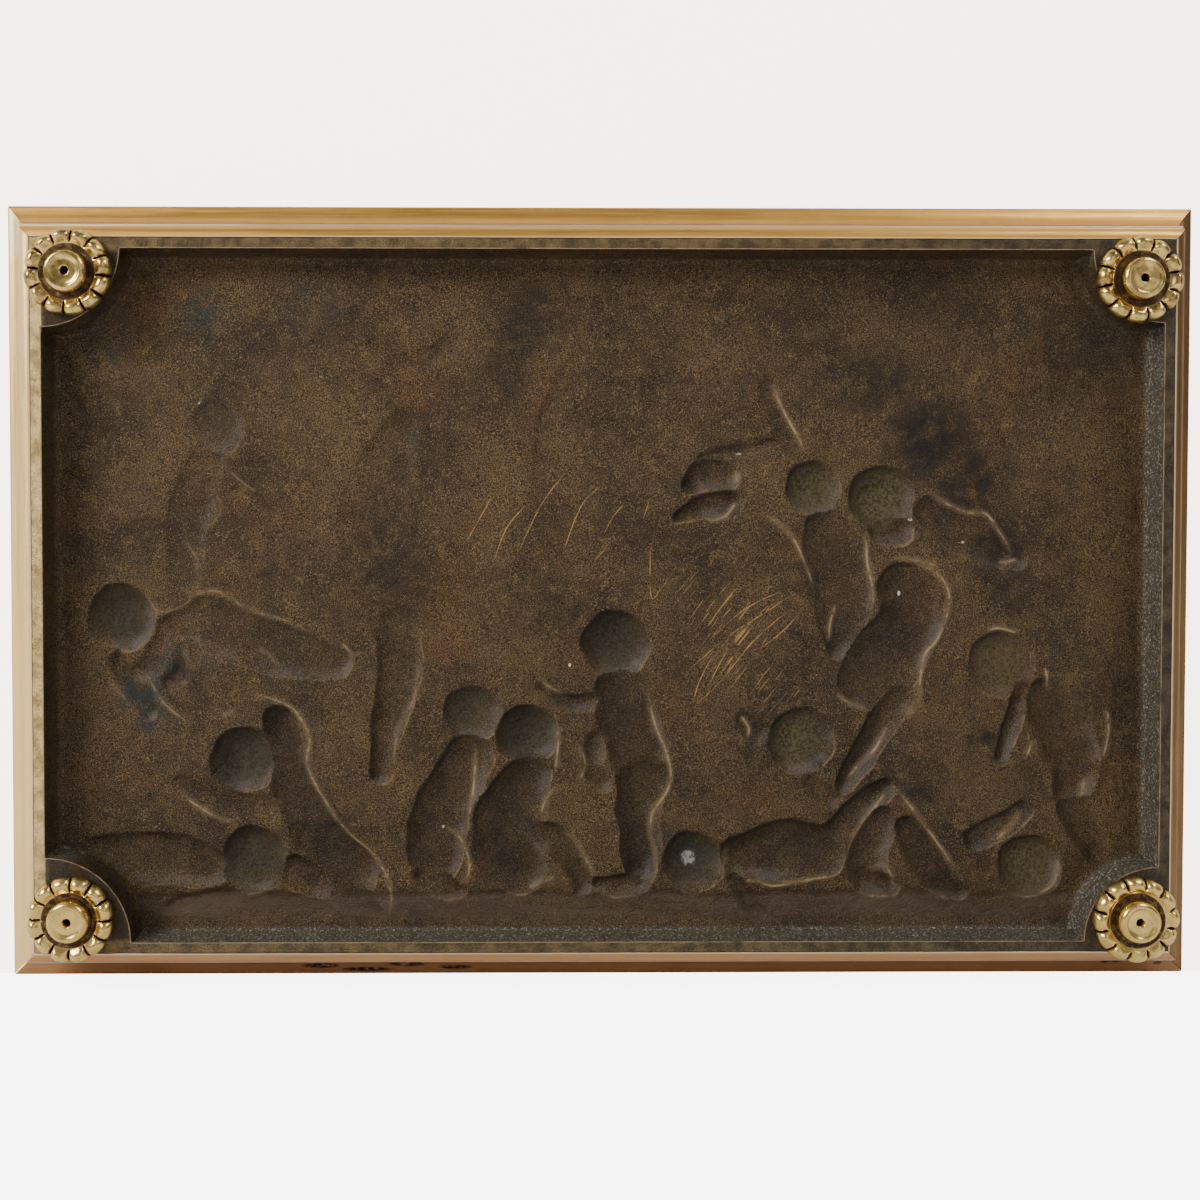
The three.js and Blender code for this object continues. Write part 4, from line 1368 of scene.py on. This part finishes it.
gold = (0.74, 0.53, 0.175)
olive = (0.30, 0.19, 0.065)
red_brown = (0.075, 0.042, 0.028)
near_black_brown = (0.03, 0.024, 0.02)
polished = Finish("Polished rosette brass", gold)
low_clean = polished.soft(polished.axis("Z"), -0.25, -0.05, 0.25, 0.85)
polished.lay(olive, polished.cloud(190.0, 0.4, 0.6, detail=4.0), low_clean)
polished.lay(near_black_brown, polished.cloud(1300.0, 0.6, 0.68), 0.7)
groove_edge = polished.times(polished.cloud(420.0, 0.36, 0.56), 0.25)
groove_edge = math_node(polished.tree, "ADD", groove_edge, 0.75)
groove_mask = polished.times(polished.kept("groove"), groove_edge)
polished.lay(red_brown, groove_mask)
# Darker in the notches between the petals
notch_mask = polished.soft(polished.kept("notch"), 0.04, 0.4)
polished.lay(near_black_brown, notch_mask)
dull = polished.soft(polished.larger(groove_mask, notch_mask), 0, 1, 0.24, 0.65)
polished.surface(dull, noise(polished.tree, polished.place, 260.0, 3.0), 0.25, 0.0003, {"Metallic": 1.0})

rosette_wear = {
    "top_left": {"turn": 0.10, "start": 11.2, "width": 0.14, "dish": 0.9, "uneven": 0.05, "seed": 3},
    "top_right": {"turn": 0.33, "start": 11.5, "width": 0.13, "dish": 0.7, "uneven": 0.08, "seed": 4},
    "bottom_right": {"turn": 0.22, "start": 12.2, "width": 0.15, "dish": 1.3, "uneven": 0.06, "seed": 5},
    "bottom_left": {"turn": 0.02, "start": 11.2, "width": 0.14, "dish": 0.9, "uneven": 0.05, "seed": 6},
}
for corner_name, wear in rosette_wear.items():
    rosette = turned_blank(f"rosette_{corner_name}_cast", blank_section(wear["dish"]))
    cutting = rosette.modifiers.new("petals", "NODES")
    cutting.node_group = petals
    for label, value in (
        ("Turn", wear["turn"]),
        ("Notch start", wear["start"] * MM),
        ("Notch width", wear["width"]),
        ("Unevenness", wear["uneven"]),
        ("Seed", wear["seed"]),
        ("Material", polished.material),
    ):
        cutting[socket_of[label]] = value
    finished_mesh(rosette)
    across_mm, up_mm = corners[corner_name]["rosette"]
    seat = panel_middle + Vector((across_mm * MM, -(rim_level + seat_gap) * MM, up_mm * MM))
    rosette.data.transform(Matrix.Translation(seat) @ Matrix.Rotation(math.pi / 2, 4, "X"))
    shade_smooth(rosette.data, rosette_crease)
    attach(rosette, "root")
    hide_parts(f"rosette_{corner_name}")

# Wall and floor
# A plain pale wall just behind the plaque and a plain pale floor just under it.
# Both are seen from one side only, so the plaque's back can be looked at too.
wall_gap, floor_gap, stage_reach = 0.0006, 0.0008, 2.5
floor_z = cad_low.z - floor_gap


def stage_sheet(name, corner_points, colour, glow, strength):
    """A flat pale sheet, clear from behind and to lamps, that shines a little to the camera alone."""
    sheet = mesh_object(name, corner_points, [tuple(range(len(corner_points)))])
    paint = Finish(name, colour)
    tree, shader = paint.tree, paint.shader
    shader.inputs["Base Color"].default_value = (*colour, 1)
    shader.inputs["Roughness"].default_value = 0.9
    rays = put(tree, "ShaderNodeLightPath").outputs
    tree.links.new(blended(tree, rays["Is Camera Ray"], (0, 0, 0), glow), shader.inputs["Emission Color"])
    shader.inputs["Emission Strength"].default_value = strength
    behind = put(tree, "ShaderNodeNewGeometry").outputs["Backfacing"]
    clear_share = paint.larger(behind, rays["Is Shadow Ray"])
    clear = put(tree, "ShaderNodeBsdfTransparent").outputs[0]
    one_sided = put(tree, "ShaderNodeMixShader", {0: clear_share, 1: shader.outputs[0], 2: clear})
    tree.links.new(one_sided.outputs[0], tree.nodes["Material Output"].inputs["Surface"])
    sheet.data.materials.append(paint.material)


wall_corners = [
    (-stage_reach, wall_gap, floor_z),
    (stage_reach, wall_gap, floor_z),
    (stage_reach, wall_gap, stage_reach),
    (-stage_reach, wall_gap, stage_reach),
]
floor_corners = [
    (-stage_reach, -stage_reach, floor_z),
    (stage_reach, -stage_reach, floor_z),
    (stage_reach, stage_reach, floor_z),
    (-stage_reach, stage_reach, floor_z),
]
wall_paint, wall_glow, wall_shine = (0.80, 0.785, 0.76), (0.95, 0.88, 0.76), 4.9
floor_paint, floor_glow, floor_shine = (0.80, 0.80, 0.80), (0.95, 0.95, 0.95), 6.6
stage_sheet("pale_wall", wall_corners, wall_paint, wall_glow, wall_shine)
stage_sheet("pale_floor", floor_corners, floor_paint, floor_glow, floor_shine)

# Light
# Soft daylight from the upper left through a window, a weaker window on the right and a weak fill
# from the front. A lamp behind shows the back of the casting, and the surround is a pale room.
def soft_light(name, place, size, power, colour):
    """A square lamp turned to the middle of the plaque."""
    lamp = bpy.data.lights.new(name, "AREA")
    lamp.size = size
    lamp.energy = power
    lamp.color = colour
    made = bpy.data.objects.new(name, lamp)
    made.location = place
    made.rotation_euler = (panel_middle - Vector(place)).to_track_quat("-Z", "Y").to_euler()
    bpy.context.scene.collection.objects.link(made)


# Lamps as name, place and size in metres, power in watts and colour
lamps = [
    ("window", (-2.1, -1.3, 1.2), 1.0, 88, (1, 0.98, 0.95)),
    ("right_window", (1.5, -0.8, 1.7), 0.8, 20, (1, 1, 1)),
    ("front_fill", (0.6, -1.8, 0.3), 1.6, 4.5, (1, 1, 1)),
    ("behind", (0.9, 1.4, 0.9), 1.2, 14, (1, 1, 1)),
]
for lamp in lamps:
    soft_light(*lamp)
room_colour, room_strength = (0.86, 0.86, 0.87, 1), 0.36
world = bpy.data.worlds.new("surround")
world.use_nodes = True
world.node_tree.nodes["Background"].inputs["Color"].default_value = room_colour
world.node_tree.nodes["Background"].inputs["Strength"].default_value = room_strength
bpy.context.scene.world = world

# Camera
# Half a metre off, below the middle of the plaque and a little to its left, and almost square on.
# The lens is shifted sideways and up, as the photograph was framed.
photo_width = 1200
sensor_width = 36
focal_pixels = 1220
camera_place = (-0.0325, -0.520, -0.1060)
tilt_down, turn_right, roll = math.radians(1.27), math.radians(0.46), math.radians(0.05)
principal_left, principal_up = 65.5, 94.7
lens = bpy.data.cameras.new("camera")
lens.sensor_width = sensor_width
lens.lens = focal_pixels / photo_width * sensor_width
lens.shift_x = principal_left / photo_width
lens.shift_y = -principal_up / photo_width
camera = bpy.data.objects.new("camera", lens)
upright = Matrix.Rotation(math.pi / 2 - tilt_down, 3, "X")
aim = Matrix.Rotation(-turn_right, 3, "Z") @ upright @ Matrix.Rotation(roll, 3, "Z")
camera.rotation_euler = aim.to_euler()
camera.location = camera_place
bpy.context.scene.collection.objects.link(camera)
bpy.context.scene.camera = camera
